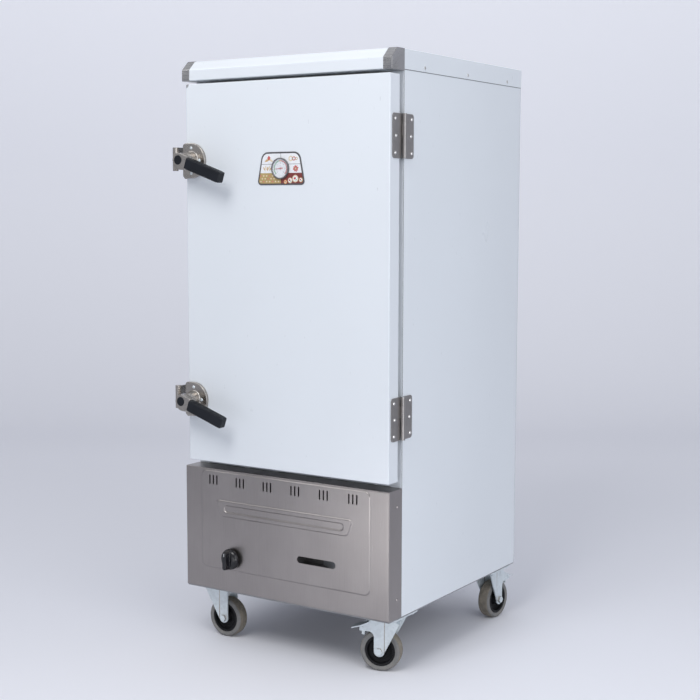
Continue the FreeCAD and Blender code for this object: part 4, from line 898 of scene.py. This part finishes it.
def pressedPanel(half, bottom, top, face, fold, bottomReturn, sheet, coarse, fine, fineX, fineZ, fineTop):
    edge, low, high = half - fold, bottom + fold, top - fold
    xs = gridLines(-edge, edge, coarse[0], fine, fineX)
    zs = gridLines(low, high, coarse[1], fine, [(low, low + 0.1), *fineZ, (fineTop, high)])
    bm = bmesh.new()
    rows = [addRow(bm, ((x, face - pressedDepth(x, z, **relief), z) for x in xs)) for z in zs]
    bridge(bm, rows, closed=False)
    # the border goes round the fold and back to the body
    loop = border([[(x, z) for x in xs] for z in zs])
    rings = [border(rows)]
    turns = [radians(15 * i) for i in range(1, 7)]
    levels = [(fold * sin(t), face + fold * (1 - cos(t))) for t in turns]
    for out, y in levels + [(fold, face + bottomReturn), (fold, 0)]:
        places = []
        for x, z in loop:
            sideways = (x >= edge - 1e-6) - (x <= -edge + 1e-6)
            upwards = (z >= high - 1e-6) - (z <= low + 1e-6)
            places.append((x + out * sideways, y, z + out * upwards))
        rings.append(addRow(bm, places))
    bridge(bm, rings[:-1])
    # the last reach to the body leaves the bottom open
    bridge(bm, [ring[len(xs) - 1:] + ring[:1] for ring in rings[-2:]], closed=False)
    bmesh.ops.delete(bm, geom=[v for v in bm.verts if not v.link_faces], context="VERTS")
    faceOut(bm, 1)
    return walled(fromBmesh("burnerPanelSheet", bm, "panelSteel"), sheet)


def cutOpenings(thing, o):
    y, lying = panel["face"] + o["start"], facing((0, -1, 0))
    vents = []
    for group in range(o["groups"]):
        for slot in range(o["perGroup"]):
            vents.append((o["first"] + o["pitch"] * group + (slot - 1) * o["slotPitch"], y, o["height"]))
    cuts = [(vents, o["slot"])]
    for name in ("sight", "knob"):
        x, z = o[name + "Place"]
        cuts.append(([(x, y, z)], o[name]))
    for places, (wide, tall) in cuts:
        sizes = {"Width": wide, "Height": tall, "Depth": o["deep"]}
        cutFrom(thing, runTree("cutter", "slots", "panelSteel", places, [lying] * len(places), **sizes))


burnerSheet = pressedPanel(**panel)
cutOpenings(burnerSheet, opening)
smooth(burnerSheet, 28)
stand(burnerSheet, "burner_panel")
print("burner panel pressed:", len(burnerSheet.data.polygons), "faces")

# a folded guard behind the sight slot, so that the slot looks at the flame only
guard = {
    "half": 62, "tall": 17, "front": -57, "depth": 44, "sheet": 0.8, "gap": 1.2,
    "baffle": [(92, -17), (156, -52.6), (156, -51.4), (92, -15.8)],
}


def makeGuard(half, tall, front, depth, sheet, gap, baffle):
    x, z = opening["sightPlace"]
    low, high = z - tall, z + tall
    corners = (x - half, front, low), (x + half, front + depth, high)
    box = blockShell("guardBox", *corners, [(0, -1, 0)], "guardSteel", 1, sheet)
    plate = prismBmesh([[(u, v, level) for u, v in baffle] for level in (low + gap, high - gap)])
    whole = joined("sightGuard", [box, fromBmesh("baffle", plate, "framePaint")])
    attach(whole, nodes["burner_panel"]["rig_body"])


makeGuard(**guard)


# Latches and hinges

latch = {
    "axisX": -263, "heights": {"upper": 1209, "lower": 622},
    "plateFace": -68, "bossFoot": 21, "flare": 2.4, "bore": 9.5,
    "hubFront": -118.1, "hubDeep": 19.5, "hubRadius": 13, "droop": 19,
    "gripHeight": 26, "gripDepth": 21, "gripMiddle": -111.1,
    "chin": [(-15.5, -6), (-12, -14), (-7, -20), (0, -23), (10, -24), (19.4, -24.2), (25, -4), (0, 2)],
    "capShrink": 0.9, "capSink": 0.35,
    "ribPitch": 3.1, "ribWide": 0.0016, "ribTall": 0.0011, "ribFirst": 34, "ribLast": 128,
}


def castCopy(piece, voxel, passes, extra):
    # a CAD piece melted into one soft-edged casting, together with the extra solids
    thing = joined(piece + "_cast", [fromBmesh(piece + "_raw", nodeBmesh(piece), "nickel"), *extra])
    melt(thing, voxel, passes)
    stand(thing, piece)


def latchCastings(p):
    # each boss flares out at its foot, in a ring round the spindle's bore
    flares = []
    foot, rise, bore = p["bossFoot"], p["flare"], p["bore"]
    outline = [(0, -3), (foot + 1.3, -3), (foot + 1.3, 0), (foot + 0.4, rise * 0.4), (foot - 0.2, rise), (0, rise)]
    for height in p["heights"].values():
        foot = (p["axisX"], p["plateFace"], height)
        flares.append(lathe("flare", outline, foot, 48, "nickel"))
        cutFrom(flares[-1], lathe("bore", [(0, -9), (bore, -9), (bore, 9), (0, 9)], foot, 32, "nickel"))
    castCopy("latch_bases", 0.8, 9, flares)
    for name, height in p["heights"].items():
        chin = prism("chin", p["chin"], (p["axisX"], p["hubFront"], height), p["hubDeep"], "nickel")
        castCopy("latch_lever_" + name, 0.75, 8, [chin])


def latchGrip(p, name):
    axisX, height = p["axisX"], p["heights"][name]
    tilt = Matrix.Rotation(radians(p["droop"]), 3, "Y")
    places = []
    for i in range(int((p["ribLast"] - p["ribFirst"]) / p["ribPitch"]) + 1):
        for face in (-1, 1):
            local = tilt @ Vector((p["ribFirst"] + p["ribPitch"] * i, 0, face * p["gripHeight"] / 2))
            places.append((axisX + local.x, p["gripMiddle"], height + local.z))
    turns = [(0, radians(p["droop"]), 0)] * len(places)
    size = (p["ribWide"], (p["gripDepth"] - 3.4) / 1000, p["ribTall"])
    ribs = runTree("ribs", "bars", "gripPlastic", places, turns, Size=size)
    body = rounded("latch_grip_" + name, "gripPlastic", 0.7, 3, 25)
    # the hub's front face is drawn in, with a slight dome
    for v in body.data.vertices:
        x, y, z = inMm(v.co)
        if y < p["hubFront"] + 0.05 and hypot(x - axisX, z - height) < p["hubRadius"]:
            dx, dz = (x - axisX) * p["capShrink"], (z - height) * p["capShrink"]
            v.co = at(axisX + dx, p["hubFront"] + (y - p["hubFront"]) * p["capSink"], height + dz)
    assembled("latchGrip_" + name, [body, ribs], "latch_grip_" + name, 30)


latchCastings(latch)
for name in latch["heights"]:
    latchGrip(latch, name)
rounded("latch_keepers", "nickel", 0.7)
rounded("hinge_frame_leaves", "hingeNickel", 0.6)
rounded("hinge_door_leaves", "hingeNickel", 0.6)
rounded("hinge_pins", "zinc", 0.8)
print("latches and hinges made")


# Screws and rivets, set on the places where the frame has them

fastener = {
    "panHeads": {"Radius": 0.0040, "Height": 0.0018, "Width": 0.0009, "Depth": 0.0009},
    "rivets": {"Radius": 0.0042, "Height": 0.0014},
    "rivetLine": 1405, "rivetSeat": 1.2, "headSeat": 1.6, "platesFront": -62, "backSheet": 580, "panelTop": 450,
    "roll": (1.7, 0.9, 2.3), "rollEnd": 3.1,
}


def setHeads(piece, f):
    # the heads by their finish, each with its seat and its turn
    rollX, rollY, rollZ = f["roll"]
    groups = {"rivets": [], "zinc": [], "panelSteel": [], "screwSteel": []}
    for low, high in islands(piece):
        x, y, z = (low + high) / 2
        if low.y < f["platesFront"]:
            outward, place, group = (0, -1, 0), (x, low.y, z), "zinc"
        elif low.y > f["backSheet"]:
            outward, place, group = (0, 1, 0), (x, high.y, z), "screwSteel"
        else:
            side = 1 if x > 0 else -1
            outward, place = (side, 0, 0), (high.x if side > 0 else low.x, y, z)
            group = "panelSteel" if z < f["panelTop"] else "screwSteel"
        if z > f["rivetLine"]:
            group = "rivets"
        seat = Vector(place) - Vector(outward) * f["rivetSeat" if group == "rivets" else "headSeat"]
        roll = (x * rollX + z * rollZ + y * rollY) % f["rollEnd"]
        groups[group].append((seat, facing(outward, roll)))
    made = []
    for group, heads in groups.items():
        if heads:
            kind, finish = ("rivets", "screwSteel") if group == "rivets" else ("panHeads", group)
            made.append(runTree(group + "Heads", kind, finish, *zip(*heads), **f[kind]))
    assembled(piece + "_heads", made, piece, 40)


setHeads("door_screws", fastener)
setHeads("cabinet_screws", fastener)
print("screws and rivets set")


# Gas knob

knob = {
    "x": -153, "z": 231, "face": -65, "radius": 26, "barHalf": 6.4, "barLong": 25, "barFront": 27,
    "barFoot": 4, "slim": 0.16, "short": 0.10, "markRise": 15, "markSize": (0.7, 4, 0.6, 4), "markLift": 0.05,
}


def gasKnob(x, z, face, radius, barHalf, barLong, barFront, barFoot, slim, short, markRise, markSize, markLift):
    # the dome's edge: how far in from the radius, and how high
    edge = [(1.6, 0), (0.3, 0.7), (0, 2), (0.4, 4.2), (1.9, 7.4), (4.4, 10), (8, 12), (13, 13.2)]
    dome = [(0, 0), *((radius - inward, height) for inward, height in edge), (0, 14)]
    skirt = lathe("skirt", dome, (x, face, z), 64, "knobPlastic")
    outline = roundedOutline(barHalf, barLong, barHalf - 0.3, 8)
    bar = prism("fingerBar", outline, (x, face - barFront, z), barFront - barFoot, "knobPlastic")
    for v in bar.data.vertices:
        here = inMm(v.co)
        front = (face - barFoot - here.y) / (barFront - barFoot)
        v.co = at(x + (here.x - x) * (1 - slim * front), here.y, z + (here.z - z) * (1 - short * front))
    body = joined("knobBody", [skirt, bar])
    melt(body, 0.6, 6)
    place = (x, face - barFront - markLift, z + markRise)
    mark = prism("knobMark", roundedOutline(*markSize), place, 0.5, "inkWhite")
    assembled("gasKnob", [body, mark], "gas_knob", 50)


gasKnob(**knob)
print("knob made")


# Thermometer and its printed plaque

plaque = {
    "x": 2, "z": 1186.5, "front": -61.2, "bottomHalf": 69, "topHalf": 54, "tall": 77,
    "cornerLow": 9, "cornerHigh": 20, "border": 3.8, "film": 0.12,
    "rowUpper": 10, "rowLower": -10.5, "divider": 1.4,
}


def roundedPolygon(points, radii, steps=8):
    # corners turned into tangent arcs, one radius for each corner
    points = [Vector(point) for point in points]
    out = []
    for i, (corner, radius) in enumerate(zip(points, radii)):
        back = (points[i - 1] - corner).normalized()
        ahead = (points[(i + 1) % len(points)] - corner).normalized()
        half = back.angle(ahead) / 2
        centre = corner + (back + ahead).normalized() * (radius / sin(half))
        a0, a1 = (atan2(*(corner + arm * (radius / tan(half)) - centre).yx) for arm in (back, ahead))
        sweep = (a1 - a0 + pi) % (2 * pi) - pi
        turns = [a0 + sweep * k / steps for k in range(steps + 1)]
        out += [(centre.x + radius * cos(a), centre.y + radius * sin(a)) for a in turns]
    return out


def trapezoid(p, inset, low=None, high=None):
    # the plaque's outline drawn in by inset, and cut off below low and above high
    half, lean = p["tall"] / 2, (p["bottomHalf"] - p["topHalf"]) / p["tall"]
    z0 = inset - half if low is None else low
    z1 = half - inset if high is None else high
    x0, x1 = (p["bottomHalf"] - lean * (z + half) - inset * hypot(1, lean) for z in (z0, z1))
    lowRadius = max(p["cornerLow"] - inset, 0.3) if low is None else 0.3
    highRadius = max(p["cornerHigh"] - inset, 0.3) if high is None else 0.3
    return roundedPolygon([(-x0, z0), (x0, z0), (x1, z1), (-x1, z1)], [lowRadius, lowRadius, highRadius, highRadius])


def halfOf(outline, side):
    # the part of an outline on one side of the middle
    kept = []
    for (x0, z0), (x1, z1) in zip(outline, outline[1:] + outline[:1]):
        if x0 * side >= 0:
            kept.append((x0, z0))
        if (x0 * side >= 0) != (x1 * side >= 0):
            kept.append((0, z0 - (z1 - z0) * x0 / (x1 - x0)))
    return kept


def placed(points, x, z, turn):
    c, s = cos(radians(turn)), sin(radians(turn))
    return [(x + u * c - w * s, z + u * s + w * c) for u, w in points]


def disc(x, z, radius, squash=1, turn=0, steps=28):
    turns = [radians(360 * i / steps) for i in range(steps)]
    return placed([(radius * cos(a), radius * squash * sin(a)) for a in turns], x, z, turn)


def leaf(x, z, length, width, turn):
    upper = [(i / 12 - 0.5, sin(pi * (i / 12)) ** 0.8 * 0.5) for i in range(13)]
    lower = [(u, -w) for u, w in upper[11:0:-1]]
    return placed([(u * length, w * width) for u, w in upper + lower], x, z, turn)


def diamond(x, z, halfX, halfZ):
    return [(x, z - halfZ), (x + halfX, z), (x, z + halfZ), (x - halfX, z)]


def printed(name, place, film, shapes):
    # flat inked shapes, each a thin film over the last: outline, level and ink
    x, y, z = place
    films = [prism("film", shape, (x, y - film * level, z), film * 0.9, ink) for shape, level, ink in shapes]
    return joined(name, films)


def plaqueShapes(p):
    bar, row, top = p["divider"] / 2, p["rowUpper"], p["tall"] / 2 - p["border"]
    lower = trapezoid(p, p["border"], None, p["rowLower"])
    art = [
        (trapezoid(p, p["border"], p["rowLower"]), 1, "inkWhite"),
        (halfOf(lower, -1), 1, "inkGold"), (halfOf(lower, 1), 1, "inkWine"),
    ]
    for x0, x1, z0, z1 in ((-bar, bar, 24, top), (-56.3, -23, row - bar, row + bar), (23, 56.3, row - bar, row + bar)):
        art.append(([(x0, z0), (x1, z0), (x1, z1), (x0, z1)], 2, "inkGrey"))
    # upper left: a diamond over two leaves
    art += [
        (leaf(-39, 19.5, 17, 5.5, 24), 2, "inkTan"), (leaf(-29.5, 19.5, 15, 5, -28), 2, "inkCream"),
        ([(-34.5, 19.5), (-29.8, 24.4), (-34.5, 30.4), (-39.2, 24.4)], 3, "inkRed"),
        ([(-34.5, 22), (-32.4, 24.4), (-34.5, 27.4), (-36.6, 24.4)], 4, "inkRose"),
    ]
    # upper right: three rings in a row, getting smaller
    for x, size, ink in ((28.5, 6.3, "inkCream"), (37.5, 4.9, "inkRose"), (44.6, 3.5, "inkTan")):
        art += [(disc(x, 22.5, size), 2, ink), (disc(x, 22.5, size * 0.55), 3, "inkWhite")]
    # middle left: a sheaf of short grains
    for i, turn in enumerate((-50, -20, 10, 40, 70)):
        grain = leaf(-48 + 4.6 * i, -0.6 + (i % 2) * 2.6, 10.5, 3.4, 90 - turn * 0.6)
        art.append((grain, 2 + i % 2, "inkCream" if i % 2 else "inkTan"))
    # middle right: a four-petal flower
    for i in range(4):
        art.append((leaf(42.5, -0.5, 17.5, 5.6, 45 * i + 12), 2 + i % 2, "inkRose" if i % 2 else "inkRed"))
    art.append((disc(42.5, -0.5, 2.3), 4, "inkCream"))
    # lower left: a lattice of diamonds
    for i in range(7):
        for k in range(3):
            x, z = -58.5 + 8.6 * i + (k % 2) * 4.3, -17 - 6.6 * k
            if hypot(x, z) > 28 and x < -3:
                art.append((diamond(x, z, 2.8, 2.2), 2, "inkCream" if (i + k) % 3 else "inkRose"))
    # lower right: dishes seen from above
    dishes = (
        (13, -31.2, 4.6, "inkOrange", "inkCream"), (26.5, -28, 6.4, "inkCream", "inkWhite"),
        (41.5, -24, 8.6, "inkCream", "inkWhite"), (57, -27, 5.6, "inkTan", "inkWhite"),
    )
    for x, z, size, rim, plate in dishes:
        art += [
            (disc(x, z, size), 2, rim), (disc(x, z, size * 0.72), 3, plate),
            (disc(x - size * 0.16, z + size * 0.1, size * 0.36, 0.8, 30), 4, "inkRed"),
            (leaf(x + size * 0.3, z - size * 0.28, size * 0.62, size * 0.24, 40), 4, "inkGreen"),
        ]
    return art


dial = {
    "radius": 24.6, "bore": 22, "floor": -62.95, "film": 0.06, "stem": 1.5,
    "start": 225, "end": -45, "marks": 7, "markStep": 20,
    "tickSize": (0.0022, 0.00008, 0.00035), "tickRadius": 15.2, "between": 0.8, "tickLift": 0.16,
    "numberRadius": 12, "numberSize": 2.7, "numberLift": 0.14, "unitPlace": 6.2, "unitSize": 3,
    "bandRadius": 19.3, "bandWide": 2.7,
    "bands": [(225, 101, "inkGreen"), (101, 80, "inkOrange"), (80, -45, "inkRed")],
}


def flatText(words, place, size):
    curve = bpy.data.curves.new("numeral", "FONT")
    curve.body, curve.size, curve.extrude, curve.resolution_u = words, size / 1000, 0.00004, 3
    curve.align_x = curve.align_y = "CENTER"
    source = newObject("numeral", curve)
    bpy.context.view_layer.update()
    graph = bpy.context.evaluated_depsgraph_get()
    mesh = bpy.data.meshes.new_from_object(source.evaluated_get(graph))
    bpy.data.objects.remove(source)
    bpy.data.curves.remove(curve)
    mesh.transform(Matrix.Translation(at(*place)) @ Matrix.Rotation(radians(90), 4, "X"))
    mesh.materials.clear()
    mesh.materials.append(mats["inkDark"])
    return newObject("numeral", mesh)


def dialFace(p, x, z, front):
    art = [(disc(0, 0, p["bore"] + 0.3, steps=72), 1, "inkWhite")]
    outer, inner = p["bandRadius"], p["bandRadius"] - p["bandWide"]
    for start, end, ink in p["bands"]:
        art.append((arcPoints((0, 0), outer, start, end, 40) + arcPoints((0, 0), inner, end, start, 40), 2, ink))

    def onScale(i, count, radius, lift):
        # the angle and the place of mark i of count
        a = radians(p["start"] + (p["end"] - p["start"]) * i / count)
        return a, (x + radius * cos(a), p["floor"] - lift, z + radius * sin(a))

    last = p["marks"] - 1
    places, turns = [], []
    for i in range(last * 4 + 1):
        a, place = onScale(i, last * 4, p["tickRadius"] + (p["between"] if i % 4 else 0), p["tickLift"])
        places.append(place)
        turns.append((0, -a, 0))
    ticks = runTree("ticks", "bars", "inkDark", places, turns, Size=p["tickSize"])
    lift = p["numberLift"]
    numbers = [flatText("°C", (x, p["floor"] - lift, z + p["unitPlace"]), p["unitSize"])]
    for i in range(last + 1):
        numbers.append(flatText(str(i * p["markStep"]), onScale(i, last, p["numberRadius"], lift)[1], p["numberSize"]))
    bore, rim = p["bore"], p["radius"]
    bezel = [
        (bore + 0.05, 4.3), (bore + 0.05, 5.4), (bore + 0.5, 5.8), (rim - 0.9, 5.8), (rim - 0.2, 5.5),
        (rim, 4.8), (rim, 0), (bore, 0), (bore, 1.4), (bore + 0.05, 4.3),
    ]
    ring = lathe("bezel", bezel, (x, front, z), 96, "bezelPaint")
    # of the CAD case only the stem stays
    stem = rounded("thermometer_case", "nickel", 0.2, 2)
    bm = bmesh.new()
    bm.from_mesh(stem.data)
    places = [(v, inMm(v.co)) for v in bm.verts]
    case = [v for v, here in places if here.y < front - 0.4 and hypot(here.x - x, here.z - z) > p["stem"]]
    bmesh.ops.delete(bm, geom=case, context="VERTS")
    bmesh.ops.holes_fill(bm, edges=bm.edges)
    bm.to_mesh(stem.data)
    bm.free()
    ink = printed("dialInk", (x, p["floor"], z), p["film"], art)
    assembled("dialCase", [ring, stem, ink, ticks, *numbers], "thermometer_case", 40)


base = rounded("thermometer_plaque", "inkDark", 0.35)
ink = printed("plaqueInk", (plaque["x"], plaque["front"], plaque["z"]), plaque["film"], plaqueShapes(plaque))
assembled("plaquePlate", [base, ink], "thermometer_plaque", 30)
dialFace(dial, plaque["x"], plaque["z"], plaque["front"])
print("thermometer made")


# Casters

caster = {
    "spread": 258, "frontY": 27, "rearY": 520, "trail": 25, "wheelHeight": 50,
    "turns": {"front_left": 0, "front_right": 195, "rear_right": 84, "rear_left": 110},
    "braked": ("front_right", "rear_right"),
    "crease": 13, "flare": 9, "ledge": (2.2, 1.1), "axleHead": 9.8, "legInside": 17.9, "crownUnder": 129.5,
    "edge": (0.6, 2, 24), "sharp": 8, "headRise": 3, "tread": (48, 13),
}
# half of each wheel's section: radius and height from its middle
tyreHalf = [
    (37.5, 14.6), (38.2, 15.4), (42.6, 15.7), (43.2, 16), (45.4, 15.9), (47.4, 15), (48.9, 13.2), (49.6, 10.8),
    (49.75, 7.4), (49.2, 7), (49.2, 6.2), (49.9, 5.8),
]
coreHalf = [
    (37.3, 14), (36.6, 14.8), (33.2, 15), (31.8, 14.6), (31.2, 13.4), (30.6, 6.2), (29.2, 4.8), (25.2, 4.4),
    (24.6, 5.4), (22.4, 5.4), (21.8, 4.4), (16.2, 4.6), (14.9, 6), (13.8, 15.8), (12.8, 17.2), (6.05, 17.4),
]


def mirrored(half, middle=()):
    # a closed section from its upper half
    return [(r, -h) for r, h in half] + [*middle] + half[::-1] + [(half[0][0], -half[0][1])]


def casterFrame(p, name):
    turn = radians(p["turns"][name])
    along, across = Vector((cos(turn), sin(turn), 0)), Vector((-sin(turn), cos(turn), 0))
    side = -1 if "left" in name else 1
    return Vector((side * p["spread"], p["frontY"] if "front" in name else p["rearY"], 0)), along, across


def casterWheel(p, name):
    centre, along, across = casterFrame(p, name)
    hub = centre + along * p["trail"] + Vector((0, 0, p["wheelHeight"]))
    # the tread is dustier than the tyre's sides
    least, most = p["tread"]
    tyre = [(r, h, int(r > least and h < most)) for r, h in mirrored(tyreHalf, [(p["wheelHeight"], 0)])]
    rolled = lathe("tyre_" + name + "_rolled", tyre, hub, 80, "tyreRubber", "treadRubber", direction=across)
    stand(rolled, "tyre_" + name)
    core = lathe("core_" + name, mirrored(coreHalf), hub, 72, "corePlastic", direction=across)
    stand(core, "wheel_core_" + name)


def creasedFork(p, name):
    # the leading half of each leg stands out at a slight angle, as a pressed fork's does
    piece = "caster_fork_" + name
    centre, along, across = casterFrame(p, name)
    crease, (ledgeWide, ledgeTall) = p["crease"], p["ledge"]
    bm = nodeBmesh(piece, True)
    for cut in (crease, crease - ledgeWide):
        everything = list(bm.verts) + list(bm.edges) + list(bm.faces)
        bmesh.ops.bisect_plane(bm, geom=everything, plane_co=at(*(centre + along * cut)), plane_no=along)
    bmesh.ops.triangulate(bm, faces=bm.faces)
    lean = tan(radians(p["flare"]))
    for v in bm.verts:
        here = inMm(v.co) - centre
        u, w = here.dot(along), here.dot(across)
        if u < crease - 0.01 and abs(w) > p["legInside"] and here.z < p["crownUnder"]:
            v.co += across * (copysign((crease - u) * lean + ledgeTall, w) / 1000)
    fork = fromBmesh(piece + "_pressed", bm, "zinc")
    bevel(fork, *p["edge"])
    smooth(fork, p["sharp"])
    fork.data.materials.append(mats["nickel"])
    # painted shade: the crease's ledge faces and the flank round the axle's head take the darker nickel, standing for
    # the dark line and the ring of shade there
    for face in fork.data.polygons:
        here = inMm(face.center) - centre
        u, w = here.dot(along), abs(here.dot(across))
        away = hypot(u - p["trail"], here.z - p["wheelHeight"])
        onHead = away < p["axleHead"] and w > p["legInside"] + p["headRise"]
        flank = onHead and abs(face.normal.dot(across)) < 0.7
        shadedCrease = -ledgeWide < u - crease < 0 and w > p["legInside"] and here.z < p["crownUnder"]
        if flank or shadedCrease and abs(face.normal.z) < 0.3:
            face.material_index = 1
    stand(fork, piece)


for name in caster["turns"]:
    casterWheel(caster, name)
    creasedFork(caster, name)
for name in caster["braked"]:
    rounded("brake_pedal_" + name, "zinc", 0.8)
rounded("caster_plates", "zinc", 0.7, 2)
rounded("caster_bolts", "zinc", 0.5, 2)
print("casters made")


# Inside of the chamber

ricePan = {
    "halfX": 222, "front": 32, "long": 480, "tall": 48, "rim": 6, "corner": 18, "sheet": 1,
    "first": 525, "pitch": 105, "perGroup": 4,
}


def panMesh(p, lift):
    halfY = p["long"] / 2
    middle, rim, low = p["front"] + halfY, p["rim"], p["first"] + lift
    top = low + p["tall"]
    levels = [
        (rim, top - 3), (rim, top - 0.8), (rim - 0.8, top), (1, top), (0.2, top - 0.6), (0, top - 2),
        (0, low + 4.5), (-1.3, low + 1.3), (-4.5, low), (-34, low), (-37, low + 1.4),
    ]
    bm = bmesh.new()
    rings = []
    for grow, z in levels:
        outline = roundedOutline(p["halfX"] + grow, halfY + grow, max(p["corner"] + grow, 4), 7)
        rings.append(addRow(bm, ((x, middle + y, z) for x, y in outline)))
    bridge(bm, rings)
    bm.faces.new(rings[-1])
    faceOut(bm, 2)
    return walled(fromBmesh("pan", bm, "trayInside"), p["sheet"])


for group, piece in enumerate(("rice_trays_lower", "rice_trays_upper")):
    count, pitch = ricePan["perGroup"], ricePan["pitch"]
    pan = panMesh(ricePan, group * count * pitch)
    sizes = {"Part": pan, "Count": count, "Step": pitch / 1000}
    stack = runTree(piece + "_stack", "stack", "trayInside", [(0, 0, 0)], **sizes)
    smooth(stack)
    stand(stack, piece)
    bpy.data.objects.remove(pan)
chamber = {}
for piece in ("tray_rack_left", "tray_rack_right", "chamber_liner", "water_tank", "door_liner", "steam_vent"):
    chamber[piece] = rounded(piece, "chamberSteel", 0.35, 2)
print("trays and chamber made")


# Soft parts: the door seal and the wool filling

seal = {
    "left": -278, "right": 278, "low": 474, "high": 1387, "corner": 18, "back": -20, "half": 7,
    "flank": [(7, 2.2), (3.4, 4.2), (4.2, 6.4), (6, 9), (6.2, 12.5), (5, 16), (2.6, 18.2)], "crest": 18.7,
}


def doorSeal(left, right, low, high, corner, back, half, flank, crest):
    # a moulded lip carried round the door, its bulb towards the cabinet
    section = [(-half, 0), (half, 0), *flank, (0, crest), *((-x, rise) for x, rise in flank[::-1])]
    middleX, middleZ = (left + right) / 2, (low + high) / 2
    bm = bmesh.new()
    rings = []
    for across, rise in section:
        grow = across - half
        outline = roundedOutline((right - left) / 2 + grow, (high - low) / 2 + grow, max(corner + grow, 3), 8)
        rings.append(addRow(bm, ((middleX + x, back + rise, middleZ + z) for x, z in outline)))
    bridge(bm, rings + rings[:1])
    faceOut(bm)
    lip = fromBmesh("doorSeal", bm, "silicone")
    bevel(lip, 0.5, 2, 40)
    smooth(lip, 45)
    stand(lip, "door_gasket")


wool = {"voxel": {"cabinet_lagging": 9, "door_lagging": 7}, "dip": (0.8, 3.2), "cell": 0.045}


def woolFilling(p, piece):
    # matted fibre: the plain filling softened, with shallow hollows pressed into it
    thing = fromBmesh(piece + "_wool", nodeBmesh(piece), "wool")
    modify(thing, "REMESH", mode="VOXEL", voxel_size=p["voxel"][piece] / 1000)
    bakeModifiers(thing)
    low, high = p["dip"]
    mesh = thing.data
    normals = [v.normal.copy() for v in mesh.vertices]
    for v, normal in zip(mesh.vertices, normals):
        wave = noise.fractal(v.co / p["cell"], 0.6, 2, 3) * 0.5 + 0.5
        v.co -= normal * (low + (high - low) * min(1, max(0, wave))) / 1000
    mesh.shade_smooth()
    stand(thing, piece)


doorSeal(**seal)
for piece in wool["voxel"]:
    woolFilling(wool, piece)
print("seal and filling made")


# Water, gas and rear parts, and the frame under the body

plainFinish = {
    "water_inlet": ("brass", 0.5), "float_ball": ("brass", 0.5), "drain_valve": ("brass", 0.5),
    "drain_lever": ("nickel", 0.7), "burner": ("iron", 1.2), "gas_line": ("brass", 0.5), "gas_valve": ("brass", 0.6),
    "valve_stem": ("nickel", 0.3), "base_frame": ("framePaint", 0.8),
}
for piece, (finish, width) in plainFinish.items():
    rounded(piece, finish, width, 2)
backSheet = rounded("back_panel", "bodySheet", 0.35, 2)


def coatInside(thing, inward, finish="backCoat"):
    # some faces of a sheet take another material; by default the near-black coat that paints the shade on the faces
    # inside the body
    mesh = thing.data
    mesh.materials.append(mats[finish])
    for face in mesh.polygons:
        if inward(inMm(face.center), face.normal):
            face.material_index = len(mesh.materials) - 1


inner = {"back": 589.5, "liner": 0.2, "wall": 299.6, "wallDepth": (0.4, 588.6)}
# painted shade: the inner faces of the back panel and of the side walls take the near-black coat
coatInside(backSheet, lambda place, normal: normal.y < -0.5 and place.y < inner["back"])
coatInside(chamber["chamber_liner"], lambda place, normal: place.y < inner["liner"] and normal.y < -0.3, "bodySheet")
start, end = inner["wallDepth"]
for wall in sideWalls:
    coatInside(wall, lambda place, normal: abs(place.x) < inner["wall"] and start < place.y < end)
print("rear and under parts made")


# Finishes of the CAD pieces that stay

keptFinish = {
    "cabinet_sheet": "bodySheet", "door_sheet": "doorSheet", "bright_steel": "capSteel", "panel_steel": "panelSteel",
    "chamber_steel": "chamberSteel", "zinc_steel": "zinc", "latch_metal": "nickel", "frame_paint": "framePaint",
    "burner_iron": "iron", "pipe_brass": "brass", "lagging": "wool", "seal_rubber": "silicone",
    "grip_plastic": "gripPlastic", "knob_plastic": "knobPlastic", "core_plastic": "corePlastic",
    "tyre_rubber": "tyreRubber", "plaque_print": "inkWhite", "dial_case": "nickel", "dial_glass": "glass",
    "pointer_red": "inkRed",
}
for piece, thing in nodes.items():
    if not thing.hide_render:
        thing.data.materials.clear()
        thing.data.materials.append(mats[keptFinish[slotOf[piece]]])
